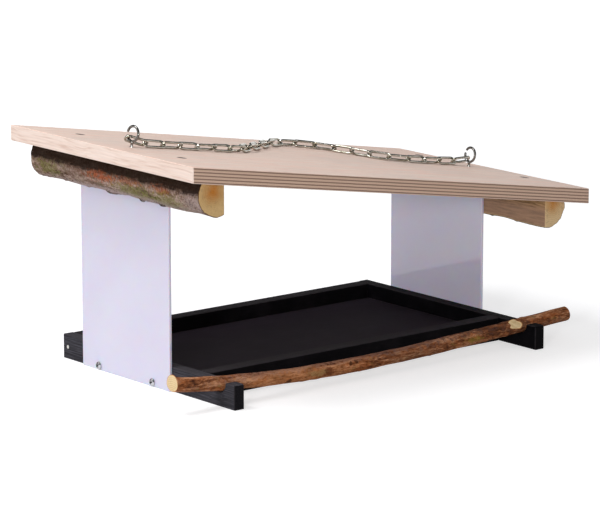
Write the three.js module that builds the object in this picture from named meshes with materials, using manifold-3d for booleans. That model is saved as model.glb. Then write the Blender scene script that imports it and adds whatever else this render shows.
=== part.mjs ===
// A hanging bird table: a feeding tray under a sloping plywood roof. Two opal plastic panels carry the
// roof by two logs sawn flat, a natural branch is the perch, and a chain in two screw eyes hangs it.
// Millimetres. +X runs from the high end of the roof to the low end, +Y to the back, +Z up.
// The origin is the middle of the tray floor's underside.
import * as THREE from "three";
import { mergeVertices } from "three/addons/utils/BufferGeometryUtils.js";
import Module from "manifold-3d";

// Clearances and tolerances
const fitGap = 0.2; // between pieces that are screwed together
const cutOverrun = 3; // how far a cut runs past the face that it starts from
const weldTolerance = 0.0001; // vertices nearer than this are one vertex

// Tray
const trayLength = 392; // over the outer faces of the side rails
const trayDepth = 218; // over the outer faces of the two battens
const railHeight = 24;
const railThickness = 12;
const railNose = 53.5; // the side rails run on this far in front of the front batten
const railTipDepth = 13.5; // the wood left standing in front of the perch
const railTipRound = 2.5;
const battenThickness = 15;
const floorThickness = 9;
const timberArris = 0.7; // eased ends of the painted timber
const timberRound = 1.2; // and its eased long edges

// Perch
const perchLength = 497;
const perchShift = 2; // its middle lies this far to the left of the tray's
const perchDiameter = 15.4;
const perchSag = 7; // the branch is lowest in its middle
const perchCrook = 2.5; // and swings up more at its left end
const perchTaperShare = 0.075; // of its radius, thicker on the left and thinner on the right
const saddleSlack = 1.8; // between the branch and the side of its saddle
const saddleWall = 0.8; // straight side above the round bottom of the saddle
const stubDiameter = 14; // side branch, sawn off short
const stubLength = 10.5; // from the middle of the perch to the sawn face
const stubFromRail = 9; // its middle, from the inner face of the right rail
const stubLean = 0.75; // radians above straight forward
const stubSlant = 0.3; // radians towards the middle of the perch
const stubEaseShare = 0.86; // width of the sawn face in the stub's greatest width
const perchPhase = 1;

// Side panels
const panelThickness = 3;
const panelWidth = 140;
const panelShift = 2; // the panels and their screws lie this far behind the middle of the tray
const panelArris = 0.4;
const panelCorner = 1.5;
const panelScrewSpacing = 86;
const panelScrewDrop = 11; // the upper screws, below the top edge of the panel

// Roof
const highOverhang = 54.5; // past the high log's flat face, along the slope
const lowOverhang = 42; // and past the low log's
const roofDepth = 288;
const roofThickness = 15;
const roofArris = 0.5;
const roofRound = 0.9;
const highClear = 214.5; // underside of the roof above the tray's underside, at the high log's flat face
const lowClear = 150; // and at the low log's flat face
const roofBackReach = 3.5; // its back edge lies this far behind the tray

// The two logs: side is -1 at the high end and 1 at the low end
const highLog = {
  side: -1,
  diameter: 44.6,
  centreOut: 8, // middle of the log, outside its flat face
  centreDown: 10.2, // and below its sawn top
  frontInset: 22, // from the roof's front edge to the sawn end
  backInset: 0.5,
  screwOut: 11, // the roof screws, outside the flat face
  eyeOut: 17.5, // and the screw eye
  eyeRise: 12.6, // middle of the eye's ring above the roof
  eyeTurn: 0.12, // radians that the eye is turned on its shank
  eyeMouthAngle: 1.62, // radians from the top of the ring back to its opening
  phase: 0,
};
const lowLog = {
  side: 1,
  diameter: 43.4,
  centreOut: 3.6,
  centreDown: 7.8,
  frontInset: 17,
  backInset: 6,
  screwOut: 17,
  eyeOut: 9,
  eyeRise: 12,
  eyeTurn: 0,
  eyeMouthAngle: 0.85,
  phase: 2.4,
};
const roofScrewSpacing = 160;

// Fasteners: heads, shanks and lengths
const panScrew = { shank: 3.5, head: 7.6, headHeight: 2.6, point: 5 };
const sunkScrew = { shank: 4, head: 8, headHeight: 2.6, point: 6 };
const smallSunkScrew = { shank: 3, head: 6, headHeight: 2, point: 4 };
const frameNail = { shank: 2, head: 3.6, headHeight: 0.8, point: 3 };
const trayScrewLength = 30;
const logScrewLength = 16;
const roofScrewLength = 36;
const frameNailLength = 30;
const perchScrewBite = 9; // how far the perch screws go into the branch
const panHeadShares = [[1, 0.4], [0.8, 0.85], [0.45, 1]]; // widths and heights of a pan head's edge
const recessWidth = 1.1;
const recessDepth = 1.3;
const recessSpanShare = 0.56; // of the head's diameter

// Screw eyes
const eyeWire = 2.6;
const eyeRadius = 7.2; // centre line of the ring
const eyeShank = 3;
const eyeDepth = 32; // shank below the roof's top face
const eyePoint = 6;
const eyeMouth = 2.2; // opening that the bent wire leaves

// Chain
const chainSpareShare = 0.2; // of the way from eye to eye, the least that the chain is longer
const linkWire = 2.5;
const linkLength = 26;
const linkWidth = 10;
const linkGap = 0.5;
const chainLift = 0.2; // least room under the links
const eyeSlack = 0.7; // between the chain's end links and the rings that they ride on
const linkLean = 0.72; // radians: the links lean on one long side, to and fro
const linkLeanWander = 0.06;
const leaveAngle = (3 * Math.PI) / 4; // where the chain rides on the ring, from its top towards the back

// The chain's route over the roof: shares of the way from eye to eye, of its bow to the back, and of
// the height that it drops from the eyes
const routeShares = [
  [0, 0, 1],
  [0.045, -0.03, 0],
  [0.14, -0.04, 0],
  [0.245, -0.04, 0],
  [0.31, 0, 0],
  [0.385, 0.24, 0],
  [0.475, 0.57, 0],
  [0.55, 0.84, 0],
  [0.595, 0.94, 0],
  [0.635, 0.955, 0],
  [0.67, 0.89, 0],
  [0.7, 0.76, 0],
  [0.72, 0.58, 0],
  [0.733, 0.39, 0],
  [0.747, 0.22, 0],
  [0.772, 0.06, 0],
  [0.815, -0.02, 0],
  [0.87, -0.03, 0],
  [0.94, -0.02, 0],
  [1, 0, 1],
];
const routeSamples = 3000;
const bowSteps = 60;

// Roundness
const turnedSides = 12;
const wireSides = 8;
const linkSegments = 12;
const eyeSegments = 24;
const barkPoints = 24;
const logStations = 14;
const perchPoints = 12;
const perchStations = 30;
const saddleSegments = 6;

// Uneven growth of bark: waves round the stem, waves along it, and their height as a share of its radius
const logWaveShares = [
  [2, 1.1, 0.018],
  [3, 2.3, 0.014],
  [5, 3.1, 0.009],
  [1, 4.7, 0.012],
];
const perchWaveShares = [
  [2, 3.7, 0.02],
  [3, 6.1, 0.015],
  [1, 11.3, 0.018],
];

// Places that follow from the sizes above
const panelInner = trayLength / 2 + fitGap;
const panelOuter = panelInner + panelThickness;
const logFace = panelOuter + fitGap;
const roofTilt = Math.atan2(highClear - lowClear, 2 * logFace);
const roofMiddle = (highClear + lowClear) / 2;
const roofBack = trayDepth / 2 + roofBackReach;
const roofFront = roofBack - roofDepth;
const eyeLine = (roofFront + roofBack) / 2;
const railFront = -trayDepth / 2 - railNose;
const saddleRadius = perchDiameter / 2 + saddleSlack;
const saddleFloor = railHeight - saddleWall - saddleRadius;
const perchLine = railFront + railTipDepth + saddleRadius;
const railMiddle = (trayLength - railThickness) / 2;
const trayInner = trayLength / 2 - railThickness;
const underside = (x) => roofMiddle - x * Math.tan(roofTilt);
const alongRoof = (x) => x / Math.cos(roofTilt);
const X = new THREE.Vector3(1, 0, 0);
const Y = new THREE.Vector3(0, 1, 0);
const Z = new THREE.Vector3(0, 0, 1);

// The roof's own frame: its X runs down the slope, and its XY plane is the roof's underside
const roofFrame = new THREE.Matrix4().makeRotationY(roofTilt).setPosition(0, 0, roofMiddle);

// Materials
const finish = (colour, roughness, metalness = 0) =>
  new THREE.MeshStandardMaterial({ color: colour, roughness, metalness });
const plywood = finish(0xe3cdbf, 0.6);
const bark = finish(0x7d5a3c, 0.9);
const opalPlastic = finish(0xdcdae8, 0.25);
const blackTimber = finish(0x26262a, 0.55);
const perchBark = finish(0x93593a, 0.7);
const zincPlate = finish(0xc9ccd0, 0.3, 1);
const blackSteel = finish(0x303034, 0.45, 0.8);

const wasm = await Module();
wasm.setup();

const table = new THREE.Group();
const roof = new THREE.Group();
roof.applyMatrix4(roofFrame);
table.add(roof);

function addPiece(name, geometry, material, group = table) {
  const mesh = new THREE.Mesh(geometry, material);
  mesh.name = name;
  group.add(mesh);
  return mesh;
}

// A geometry as a solid that can be cut and joined
function solid(geometry) {
  const bare = geometry.clone();
  bare.deleteAttribute("normal");
  bare.deleteAttribute("uv");
  const welded = mergeVertices(bare, weldTolerance);
  return new wasm.Manifold(
    new wasm.Mesh({
      numProp: 3,
      vertProperties: welded.attributes.position.array,
      triVerts: new Uint32Array(welded.index.array),
    }),
  );
}

// A solid as a geometry again
function skin(body) {
  const mesh = body.getMesh();
  const geometry = new THREE.BufferGeometry();
  geometry.setAttribute("position", new THREE.BufferAttribute(mesh.vertProperties, mesh.numProp));
  geometry.setIndex(new THREE.BufferAttribute(mesh.triVerts, 1));
  geometry.computeVertexNormals();
  return geometry;
}

const cut = (geometry, tools) =>
  skin(tools.reduce((left, tool) => left.subtract(solid(tool)), solid(geometry)));

// A block between two corners
function block(low, high) {
  const size = high.clone().sub(low);
  const middle = high.clone().add(low).multiplyScalar(0.5);
  return new THREE.BoxGeometry(size.x, size.y, size.z).translate(middle.x, middle.y, middle.z);
}

// A closed body through rings of points that turn right-handed about the way they follow each other
function loft(rings) {
  const count = rings[0].length;
  const points = rings.flat();
  const faces = [];
  const middle = (ring) =>
    ring.reduce((sum, p) => sum.add(p), new THREE.Vector3()).divideScalar(count);
  for (let r = 0; r + 1 < rings.length; r++) {
    for (let k = 0; k < count; k++) {
      const a = r * count + k;
      const b = r * count + ((k + 1) % count);
      faces.push(a, b, b + count, a, b + count, a + count);
    }
  }
  const start = points.push(middle(rings[0])) - 1;
  const end = points.push(middle(rings.at(-1))) - 1;
  const last = (rings.length - 1) * count;
  for (let k = 0; k < count; k++) {
    const next = (k + 1) % count;
    faces.push(start, next, k, end, last + k, last + next);
  }
  const geometry = new THREE.BufferGeometry().setFromPoints(points);
  geometry.setIndex(faces);
  geometry.computeVertexNormals();
  return geometry;
}

// A turned body on the Z axis from a profile of radius and height, given from its lowest point up
const turned = (profile) =>
  new THREE.LatheGeometry(
    profile.map(([r, z]) => new THREE.Vector2(r, z)),
    turnedSides,
  ).rotateX(Math.PI / 2);

// A board with its outline drawn in Y and Z, its thickness along X and its edges eased
function board(outline, low, high, arris, curveSegments) {
  return new THREE.ExtrudeGeometry(outline, {
    depth: high - low - 2 * arris,
    bevelEnabled: true,
    bevelThickness: arris,
    bevelSize: arris,
    bevelOffset: -arris,
    bevelSegments: 1,
    curveSegments,
  })
    .applyMatrix4(new THREE.Matrix4().makeBasis(Y, Z, X))
    .translate(low + arris, 0, 0);
}

// A rectangle with round corners, as an outline
function roundedRectangle(left, bottom, right, top, radius) {
  const outline = new THREE.Shape();
  outline.moveTo(left + radius, bottom);
  outline.lineTo(right - radius, bottom);
  outline.absarc(right - radius, bottom + radius, radius, -Math.PI / 2, 0, false);
  outline.lineTo(right, top - radius);
  outline.absarc(right - radius, top - radius, radius, 0, Math.PI / 2, false);
  outline.lineTo(left + radius, top);
  outline.absarc(left + radius, top - radius, radius, Math.PI / 2, Math.PI, false);
  outline.lineTo(left, bottom + radius);
  outline.absarc(left + radius, bottom + radius, radius, Math.PI, 1.5 * Math.PI, false);
  return outline;
}

// Fasteners stand on the XY plane with the head up. Each is its turned body and the hole that it needs.
const shankProfile = (kind, length) => [
  [0, -length],
  [kind.shank / 2, kind.point - length],
];

function panScrewOf(kind, length) {
  const head = kind.head / 2;
  const shank = [...shankProfile(kind, length), [kind.shank / 2, 0]];
  const dome = panHeadShares.map(([width, height]) => [width * head, height * kind.headHeight]);
  const profile = [...shank, [head, 0], ...dome, [0, kind.headHeight]];
  return { body: withRecess(profile, kind), hole: holeFor(shank) };
}

function sunkScrewOf(kind, length) {
  const sunk = [
    ...shankProfile(kind, length),
    [kind.shank / 2, -kind.headHeight],
    [kind.head / 2, -fitGap],
  ];
  return { body: withRecess([...sunk, [0, -fitGap]], kind), hole: holeFor(sunk) };
}

function nailOf(kind, length) {
  const sunk = [
    ...shankProfile(kind, length),
    [kind.shank / 2, -kind.headHeight],
    [kind.head / 2, -kind.headHeight],
    [kind.head / 2, 0],
  ];
  return { body: turned([...sunk, [0, 0]]), hole: holeFor(sunk) };
}

// The hole for a sunk profile: wider and deeper by the clearance, and open at the top
function holeFor(sunk) {
  const wider = sunk.map(([r, z]) => [r > 0 ? r + fitGap : 0, z - fitGap]);
  const mouth = wider.at(-1)[0];
  return turned([...wider, [mouth, cutOverrun], [0, cutOverrun]]);
}

// A turned screw with a cross recess in its head
function withRecess(profile, kind) {
  const top = profile.at(-1)[1];
  const span = (recessSpanShare * kind.head) / 2;
  const half = recessWidth / 2;
  const bar = (x, y) =>
    block(new THREE.Vector3(-x, -y, top - recessDepth), new THREE.Vector3(x, y, top + cutOverrun));
  return cut(turned(profile), [bar(span, half), bar(half, span)]);
}

// Moves a fastener or its hole to a point, with its head facing outward and turned about its axis
function placed(geometry, at, outward, turn = 0) {
  const turning = new THREE.Quaternion().setFromUnitVectors(Z, outward);
  const matrix = new THREE.Matrix4().makeRotationFromQuaternion(turning).setPosition(at);
  return geometry.clone().rotateZ(turn).applyMatrix4(matrix);
}

// Every fastener, listed with what it goes through. Those of the roof are in the roof's own frame.
const fasteners = [];
function fasten(name, kind, at, outward, through, material, group = table) {
  const turn = fasteners.length;
  addPiece(name, placed(kind.body, at, outward, turn), material, group);
  fasteners.push({ hole: placed(kind.hole, at, outward), through, group });
}

// The holes in one piece, in that piece's frame
const holesIn = (name, group = table) =>
  fasteners
    .filter((f) => f.through.includes(name))
    .map((f) => (f.group === group ? f.hole : f.hole.clone().applyMatrix4(roofFrame)));

const sideName = (side) => (side < 0 ? "left" : "right");
const endName = (end) => (end < 0 ? "front" : "back");

// Radius of a stem as a share of its mean, at an angle round it and a share of its length
const barkShare = (waves, angle, along, phase) =>
  waves.reduce(
    (sum, [round, lengthwise, height]) =>
      sum + height * Math.sin(round * angle + 2 * Math.PI * lengthwise * along + phase * round),
    1,
  );

// Perch: a bowed, tapering branch in the rails' saddles, with one sawn-off side branch
function perchMiddle(x) {
  const q = x / railMiddle;
  const steepest = (2 * (perchSag + perchCrook)) / railMiddle;
  const seat = saddleFloor + fitGap + perchRadius(x) + (steepest * railThickness) / 2;
  return new THREE.Vector3(x, perchLine, seat - (1 - q * q) * (perchSag - perchCrook * q));
}

function perchRadius(x) {
  return (perchDiameter / 2) * (1 - (perchTaperShare * x) / railMiddle);
}

function perchGeometry() {
  const rings = [];
  for (let station = 0; station <= perchStations; station++) {
    const along = station / perchStations;
    const x = perchLength * (along - 0.5) - perchShift;
    const middle = perchMiddle(x);
    const ring = [];
    for (let k = 0; k < perchPoints; k++) {
      const angle = (2 * Math.PI * k) / perchPoints;
      const radius = perchRadius(x) * barkShare(perchWaveShares, angle, along, perchPhase);
      ring.push(
        new THREE.Vector3(0, Math.cos(angle), Math.sin(angle)).multiplyScalar(radius).add(middle),
      );
    }
    rings.push(ring);
  }
  const stubAt = perchMiddle(trayInner - stubFromRail);
  const out = new THREE.Vector3(-Math.sin(stubSlant), -Math.cos(stubLean), Math.sin(stubLean)).normalize();
  const foot = perchRadius(stubAt.x) / 2;
  const stub = placed(
    turned([
      [0, 0],
      [foot, 0],
      [stubDiameter / 2, stubLength - foot / 2],
      [stubEaseShare * (stubDiameter / 2), stubLength],
      [0, stubLength],
    ]),
    stubAt,
    out,
  );
  return skin(solid(loft(rings)).add(solid(stub)));
}

// Log: a bark stem, sawn off flat along its inner side and along the roof
function logGeometry(log) {
  const radius = log.diameter / 2;
  const x = log.side * (logFace + log.centreOut);
  const z = underside(x) - log.centreDown;
  const front = roofFront + log.frontInset;
  const back = roofBack - log.backInset;
  const rings = [];
  for (let station = 0; station <= logStations; station++) {
    const along = station / logStations;
    const ring = [];
    for (let k = 0; k < barkPoints; k++) {
      const angle = (2 * Math.PI * k) / barkPoints;
      const reach = radius * barkShare(logWaveShares, angle, along, log.phase);
      const y = front + (back - front) * along;
      ring.push(new THREE.Vector3(x + reach * Math.sin(angle), y, z + reach * Math.cos(angle)));
    }
    rings.push(ring);
  }
  const flat = block(
    new THREE.Vector3(-log.diameter, front - cutOverrun, z - log.diameter),
    new THREE.Vector3(log.diameter, back + cutOverrun, z + log.diameter),
  ).translate(log.side * (logFace - log.diameter), 0, 0);
  const top = block(
    new THREE.Vector3(alongRoof(x) - log.diameter, front - cutOverrun, -fitGap),
    new THREE.Vector3(alongRoof(x) + log.diameter, back + cutOverrun, log.diameter),
  ).applyMatrix4(roofFrame);
  return cut(loft(rings), [flat, top, ...holesIn(logName(log))]);
}

const logName = (log) => "log_" + sideName(log.side);
const logMiddle = (log) => (roofFront + log.frontInset + roofBack - log.backInset) / 2;

// Side rail: the box's end, run on to the front with a saddle for the perch and an upright tip
function railGeometry(side) {
  const back = trayDepth / 2;
  const outline = new THREE.Shape();
  outline.moveTo(railFront, 0);
  outline.lineTo(railFront, railHeight - railTipRound);
  const tip = new THREE.Vector2(railFront, railHeight).add(new THREE.Vector2(railTipRound, -railTipRound));
  outline.absarc(tip.x, tip.y, railTipRound, Math.PI, Math.PI / 2, true);
  outline.lineTo(perchLine - saddleRadius - railTipRound / 2, railHeight);
  outline.lineTo(perchLine - saddleRadius, railHeight - saddleWall);
  outline.absarc(perchLine, saddleFloor + saddleRadius, saddleRadius, Math.PI, 2 * Math.PI, false);
  outline.lineTo(perchLine + saddleRadius + saddleWall, railHeight);
  outline.lineTo(back, railHeight);
  outline.lineTo(back, 0);
  const low = side < 0 ? -trayLength / 2 : trayInner;
  const rail = board(outline, low, low + railThickness, timberArris, saddleSegments);
  return cut(rail, holesIn("tray_rail_" + sideName(side)));
}

// Batten: runs between the two rails, at the front or the back of the box
function battenGeometry(end) {
  const outer = (end * trayDepth) / 2;
  const inner = end * (trayDepth / 2 - battenThickness);
  const outline = roundedRectangle(
    Math.min(outer, inner),
    0,
    Math.max(outer, inner),
    railHeight,
    timberRound,
  );
  const reach = trayInner - fitGap;
  return cut(board(outline, -reach, reach, timberArris, 2), holesIn("tray_batten_" + endName(end)));
}

function floorGeometry() {
  const reach = trayInner - fitGap;
  const depth = trayDepth / 2 - battenThickness - fitGap;
  const body = block(
    new THREE.Vector3(-reach, -depth, 0),
    new THREE.Vector3(reach, depth, floorThickness),
  );
  return cut(body, holesIn("tray_floor"));
}

// Side panel: opal sheet on the outer face of a rail, up between the roof and the log
function panelTop(side) {
  const lowest = Math.max(side * panelInner, side * panelOuter);
  return underside(lowest) - fitGap;
}

function panelGeometry(side) {
  const front = panelShift - panelWidth / 2;
  const outline = roundedRectangle(front, 0, front + panelWidth, panelTop(side), panelCorner);
  const low = Math.min(side * panelInner, side * panelOuter);
  const sheet = board(outline, low, low + panelThickness, panelArris, 2);
  return cut(sheet, holesIn("side_panel_" + sideName(side)));
}

// Roof panel, in the roof's own frame: its ends are cut plumb, so they slant against its faces
function roofGeometry() {
  const outline = roundedRectangle(roofFront, 0, roofBack, roofThickness, roofRound);
  const high = alongRoof(-logFace) - highOverhang;
  const slope = Math.tan(roofTilt);
  const sheet = board(outline, high, alongRoof(logFace) + lowOverhang, roofArris, 1)
    .applyMatrix4(new THREE.Matrix4().makeShear(0, 0, 0, 0, -slope, 0))
    .translate((slope * roofThickness) / 2, 0, 0);
  return cut(sheet, holesIn("roof_panel", roof));
}

// Screw eye: a ring bent from wire on a pointed shank, its middle on the eye line. Its own frame stands
// on the roof's top face, with the ring in its YZ plane.
const eyePlace = (log) =>
  new THREE.Vector3(alongRoof(log.side * (logFace + log.eyeOut)), eyeLine, roofThickness);

class RingArc extends THREE.Curve {
  constructor(log) {
    super();
    this.log = log;
  }
  getPoint(share) {
    const mouth = eyeMouth / eyeRadius;
    const angle = this.log.eyeMouthAngle + mouth / 2 + share * (2 * Math.PI - mouth);
    return new THREE.Vector3(0, Math.sin(angle), Math.cos(angle))
      .multiplyScalar(eyeRadius)
      .add(new THREE.Vector3(0, 0, this.log.eyeRise));
  }
}

function wireSection(diameter) {
  const outline = new THREE.Shape();
  outline.absarc(0, 0, diameter / 2, 0, 2 * Math.PI, false);
  return outline;
}

function eyeGeometry(log) {
  const ring = new THREE.ExtrudeGeometry(wireSection(eyeWire), {
    steps: eyeSegments,
    curveSegments: wireSides / 2,
    extrudePath: new RingArc(log),
  });
  const shank = turned([
    [0, -eyeDepth],
    [eyeShank / 2, eyePoint - eyeDepth],
    [eyeShank / 2, 0],
    [eyeWire / 2, eyeWire / 2],
    [eyeWire / 2, log.eyeRise - eyeRadius],
    [0, log.eyeRise - eyeRadius],
  ]);
  return skin(solid(ring).add(solid(shank)));
}

const eyeHole = holeFor([
  [0, -eyeDepth],
  [eyeShank / 2, eyePoint - eyeDepth],
  [eyeShank / 2, 0],
]);

// Chain: the links reach from ring to ring, over the roof
const linkRound = (linkWidth - linkWire) / 2; // centre line of the round ends
const linkReach = (linkLength - linkWire) / 2; // middle of a link to the wire of its end
const linkPitch = 2 * linkReach - linkWire - linkGap;
const endPitch = linkPitch - eyeWire / 2 + linkGap / 2 - eyeSlack;
const eyeSpan = ringPoint(highLog).distanceTo(ringPoint(lowLog));
const linkPairs = Math.round((((1 + chainSpareShare) * eyeSpan) / linkPitch - 1) / 2);
const linkCount = 2 * linkPairs + 1; // odd, so that both end links lean the same way
const lieHeight = roofThickness + chainLift + linkWire / 2 + linkRound * Math.sin(linkLean);

// A torus pulled apart in its middle
function linkGeometry() {
  const ring = new THREE.TorusGeometry(linkRound, linkWire / 2, wireSides, linkSegments);
  ring.rotateZ(Math.PI / linkSegments);
  const place = ring.attributes.position;
  for (let v = 0; v < place.count; v++) {
    place.setX(v, place.getX(v) + Math.sign(place.getX(v)) * (linkReach - linkRound));
  }
  return ring;
}

// Where the chain rides on an eye's ring
function ringPoint(log) {
  return new THREE.Vector3(0, Math.sin(leaveAngle), Math.cos(leaveAngle))
    .multiplyScalar(eyeRadius)
    .applyAxisAngle(Z, log.eyeTurn)
    .add(eyePlace(log))
    .add(new THREE.Vector3(0, 0, log.eyeRise));
}

// The route with a given bow, as closely spaced points
function routePoints(bow) {
  const start = ringPoint(highLog);
  const end = ringPoint(lowLog);
  const route = new THREE.CatmullRomCurve3(
    routeShares.map(([way, back, drop]) => {
      const point = start.clone().lerp(end, way);
      point.y += bow * back;
      point.z = lieHeight + drop * (point.z - lieHeight);
      return point;
    }),
  );
  return route.getPoints(routeSamples).map((p) => p.setZ(Math.max(p.z, lieHeight)));
}

// The joints between the links, laid off along the route, and what is left over at its end
function layOff(bow) {
  const points = routePoints(bow);
  const joints = [points[0]];
  let index = 1;
  while (joints.length < linkCount) {
    const from = joints.at(-1);
    const chord = joints.length === 1 ? endPitch : linkPitch;
    while (index < points.length && points[index].distanceTo(from) < chord) index++;
    if (index === points.length) return { joints, spare: -1 };
    let near = points[index - 1].clone();
    let far = points[index].clone();
    for (let step = 0; step < bowSteps; step++) {
      const middle = near.clone().lerp(far, 0.5);
      if (middle.distanceTo(from) < chord) near = middle;
      else far = middle;
    }
    joints.push(near);
  }
  return { joints, spare: joints.at(-1).distanceTo(points.at(-1)) - endPitch };
}

// The bow that takes up the whole chain between the eyes
function chainJoints() {
  let low = 0;
  let high = eyeSpan;
  for (let step = 0; step < bowSteps; step++) {
    const bow = (low + high) / 2;
    if (layOff(bow).spare < 0) low = bow;
    else high = bow;
  }
  return [...layOff(high).joints, ringPoint(lowLog)];
}

// A link's place: along its two joints, leaning left and right by turns
function linkMatrix(joints, index) {
  const along = joints[index + 1].clone().sub(joints[index]).normalize();
  const middle =
    index === 0
      ? joints[1].clone().addScaledVector(along, -linkPitch / 2)
      : joints[index].clone().addScaledVector(along, linkPitch / 2);
  const across = new THREE.Vector3().crossVectors(Z, along).normalize();
  const turn = index % 2 === 0 ? -1 : 1;
  const lean = turn * linkLean + linkLeanWander * Math.sin(2 * index);
  across.applyAxisAngle(along, lean);
  const normal = new THREE.Vector3().crossVectors(along, across);
  return new THREE.Matrix4().makeBasis(along, across, normal).setPosition(middle);
}

// Fasteners of the side panels, the box and the perch
const trayScrew = panScrewOf(panScrew, trayScrewLength);
const logScrew = panScrewOf(panScrew, logScrewLength);
const boxNail = nailOf(frameNail, frameNailLength);
const perchScrew = sunkScrewOf(smallSunkScrew, saddleFloor + perchScrewBite);
for (const side of [-1, 1]) {
  const sideOf = sideName(side);
  const outward = X.clone().multiplyScalar(side);
  const inward = outward.clone().negate();
  for (const end of [-1, 1]) {
    const mark = sideOf + "_" + endName(end);
    const y = panelShift + (end * panelScrewSpacing) / 2;
    fasten(
      "tray_screw_" + mark,
      trayScrew,
      new THREE.Vector3(side * (panelOuter + fitGap), y, floorThickness / 2),
      outward,
      ["side_panel_" + sideOf, "tray_rail_" + sideOf, "tray_floor"],
      zincPlate,
    );
    fasten(
      "log_screw_" + mark,
      logScrew,
      new THREE.Vector3(side * (panelInner - fitGap), y, panelTop(side) - panelScrewDrop),
      inward,
      ["side_panel_" + sideOf, "log_" + sideOf],
      zincPlate,
    );
    fasten(
      "frame_nail_" + mark,
      boxNail,
      new THREE.Vector3((side * trayLength) / 2, (end * (trayDepth - battenThickness)) / 2, railHeight / 2),
      outward,
      ["tray_rail_" + sideOf, "tray_batten_" + endName(end)],
      blackSteel,
    );
  }
  fasten(
    "perch_screw_" + sideOf,
    perchScrew,
    new THREE.Vector3(side * railMiddle, perchLine, 0),
    Z.clone().negate(),
    ["tray_rail_" + sideOf, "perch_branch"],
    zincPlate,
  );
}

// Fasteners of the roof, and the screw eyes
const roofScrew = sunkScrewOf(sunkScrew, roofScrewLength);
for (const log of [highLog, lowLog]) {
  const s = alongRoof(log.side * (logFace + log.screwOut));
  for (const end of [-1, 1]) {
    fasten(
      "roof_screw_" + sideName(log.side) + "_" + endName(end),
      roofScrew,
      new THREE.Vector3(s, logMiddle(log) + (end * roofScrewSpacing) / 2, roofThickness),
      Z,
      ["roof_panel", logName(log)],
      zincPlate,
      roof,
    );
  }
  const through = ["roof_panel", logName(log)];
  fasteners.push({ hole: placed(eyeHole, eyePlace(log), Z), through, group: roof });
  const eye = placed(eyeGeometry(log), eyePlace(log), Z, log.eyeTurn);
  addPiece("screw_eye_" + sideName(log.side), eye, zincPlate, roof);
}

// The pieces that the fasteners hold
addPiece("roof_panel", roofGeometry(), plywood, roof);
for (const log of [highLog, lowLog]) addPiece(logName(log), logGeometry(log), bark);
for (const side of [-1, 1]) {
  addPiece("side_panel_" + sideName(side), panelGeometry(side), opalPlastic);
  addPiece("tray_rail_" + sideName(side), railGeometry(side), blackTimber);
}
for (const end of [-1, 1]) addPiece("tray_batten_" + endName(end), battenGeometry(end), blackTimber);
addPiece("tray_floor", floorGeometry(), blackTimber);
addPiece("perch_branch", cut(perchGeometry(), holesIn("perch_branch")), perchBark);

// The chain
const joints = chainJoints();
const link = linkGeometry();
for (let index = 0; index < linkCount; index++) {
  const mesh = addPiece("chain_link_" + String(index + 1).padStart(2, "0"), link, zincPlate, roof);
  mesh.applyMatrix4(linkMatrix(joints, index));
}

export default table;
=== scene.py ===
# %% [markdown]
# A hanging bird table: a black tray, two opal plastic sides, a plywood roof that slopes, two half logs
# that still wear their bark, a crooked branch for a perch, and a chain that lies across the roof.
# The packed model comes first and stays where it is. It could be dressed with ready-made images, but
# every finish here is worked out by shader nodes and every new shape by formulas, so that each can be
# read, changed and used again.

import bpy
import numpy as np
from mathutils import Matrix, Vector


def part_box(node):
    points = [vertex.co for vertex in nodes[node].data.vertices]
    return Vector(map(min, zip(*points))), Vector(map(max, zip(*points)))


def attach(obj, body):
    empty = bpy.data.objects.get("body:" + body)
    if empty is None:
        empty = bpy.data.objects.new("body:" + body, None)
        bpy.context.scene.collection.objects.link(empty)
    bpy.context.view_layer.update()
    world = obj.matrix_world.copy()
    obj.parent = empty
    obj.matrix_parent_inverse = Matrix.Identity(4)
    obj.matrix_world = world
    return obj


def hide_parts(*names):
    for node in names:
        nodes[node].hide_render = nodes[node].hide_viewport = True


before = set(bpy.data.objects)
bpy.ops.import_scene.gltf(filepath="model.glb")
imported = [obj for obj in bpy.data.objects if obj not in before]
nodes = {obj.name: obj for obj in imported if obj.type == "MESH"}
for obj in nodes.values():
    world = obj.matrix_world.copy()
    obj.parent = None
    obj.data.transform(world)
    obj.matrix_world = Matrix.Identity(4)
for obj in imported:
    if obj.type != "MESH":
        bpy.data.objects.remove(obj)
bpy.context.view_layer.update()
print("solids in the packed model:", len(nodes))

# %% [markdown]
# The shapes are worked out in millimetres, as a maker would write them on a drawing, and turned into
# metres once, when the mesh is made. The roof, its logs, its screws and the chain all slope, so they
# share one small change of frame: along the slope, to the back, and up from the roof's underside.

# %% Sizes that several pieces share
MM = 0.001
TURN = 2 * np.pi
log_face = 199.4
high_clear = 214.5
low_clear = 150.0
fit_gap = 0.2
roof_front = -175.5
roof_back = 112.5
roof_thickness = 15.0
high_overhang = 54.5
low_overhang = 42.0
roof_tilt = float(np.arctan2(high_clear - low_clear, 2 * log_face))
roof_middle = (high_clear + low_clear) / 2


def from_roof(points):
    """The roof's own frame turned by its tilt about the Y axis and lifted to the roof's underside."""
    x, y, z = np.moveaxis(np.asarray(points, float), -1, 0)
    along = x * np.cos(roof_tilt) + z * np.sin(roof_tilt)
    up = z * np.cos(roof_tilt) - x * np.sin(roof_tilt) + roof_middle
    return np.stack([along, y, up], axis=-1)


def underside(x):
    """Height of the roof's underside: a straight slope through its middle height."""
    return roof_middle - x * np.tan(roof_tilt)


print("the roof slopes by", round(np.degrees(roof_tilt), 2), "degrees")

# %% [markdown]
# Nearly every new piece is a tube: rings of points that follow a path, such as bark round a stem or wire
# round a link. A cylinder could be added and pulled about by hand, but a grid of points that is worked
# out all at once is exact and quick. A tube's ends either meet, or each end is closed by a small fan of
# triangles.

# %% Tubes
def angles(count):
    """Even angles round one turn."""
    return np.arange(count) * TURN / count


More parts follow.
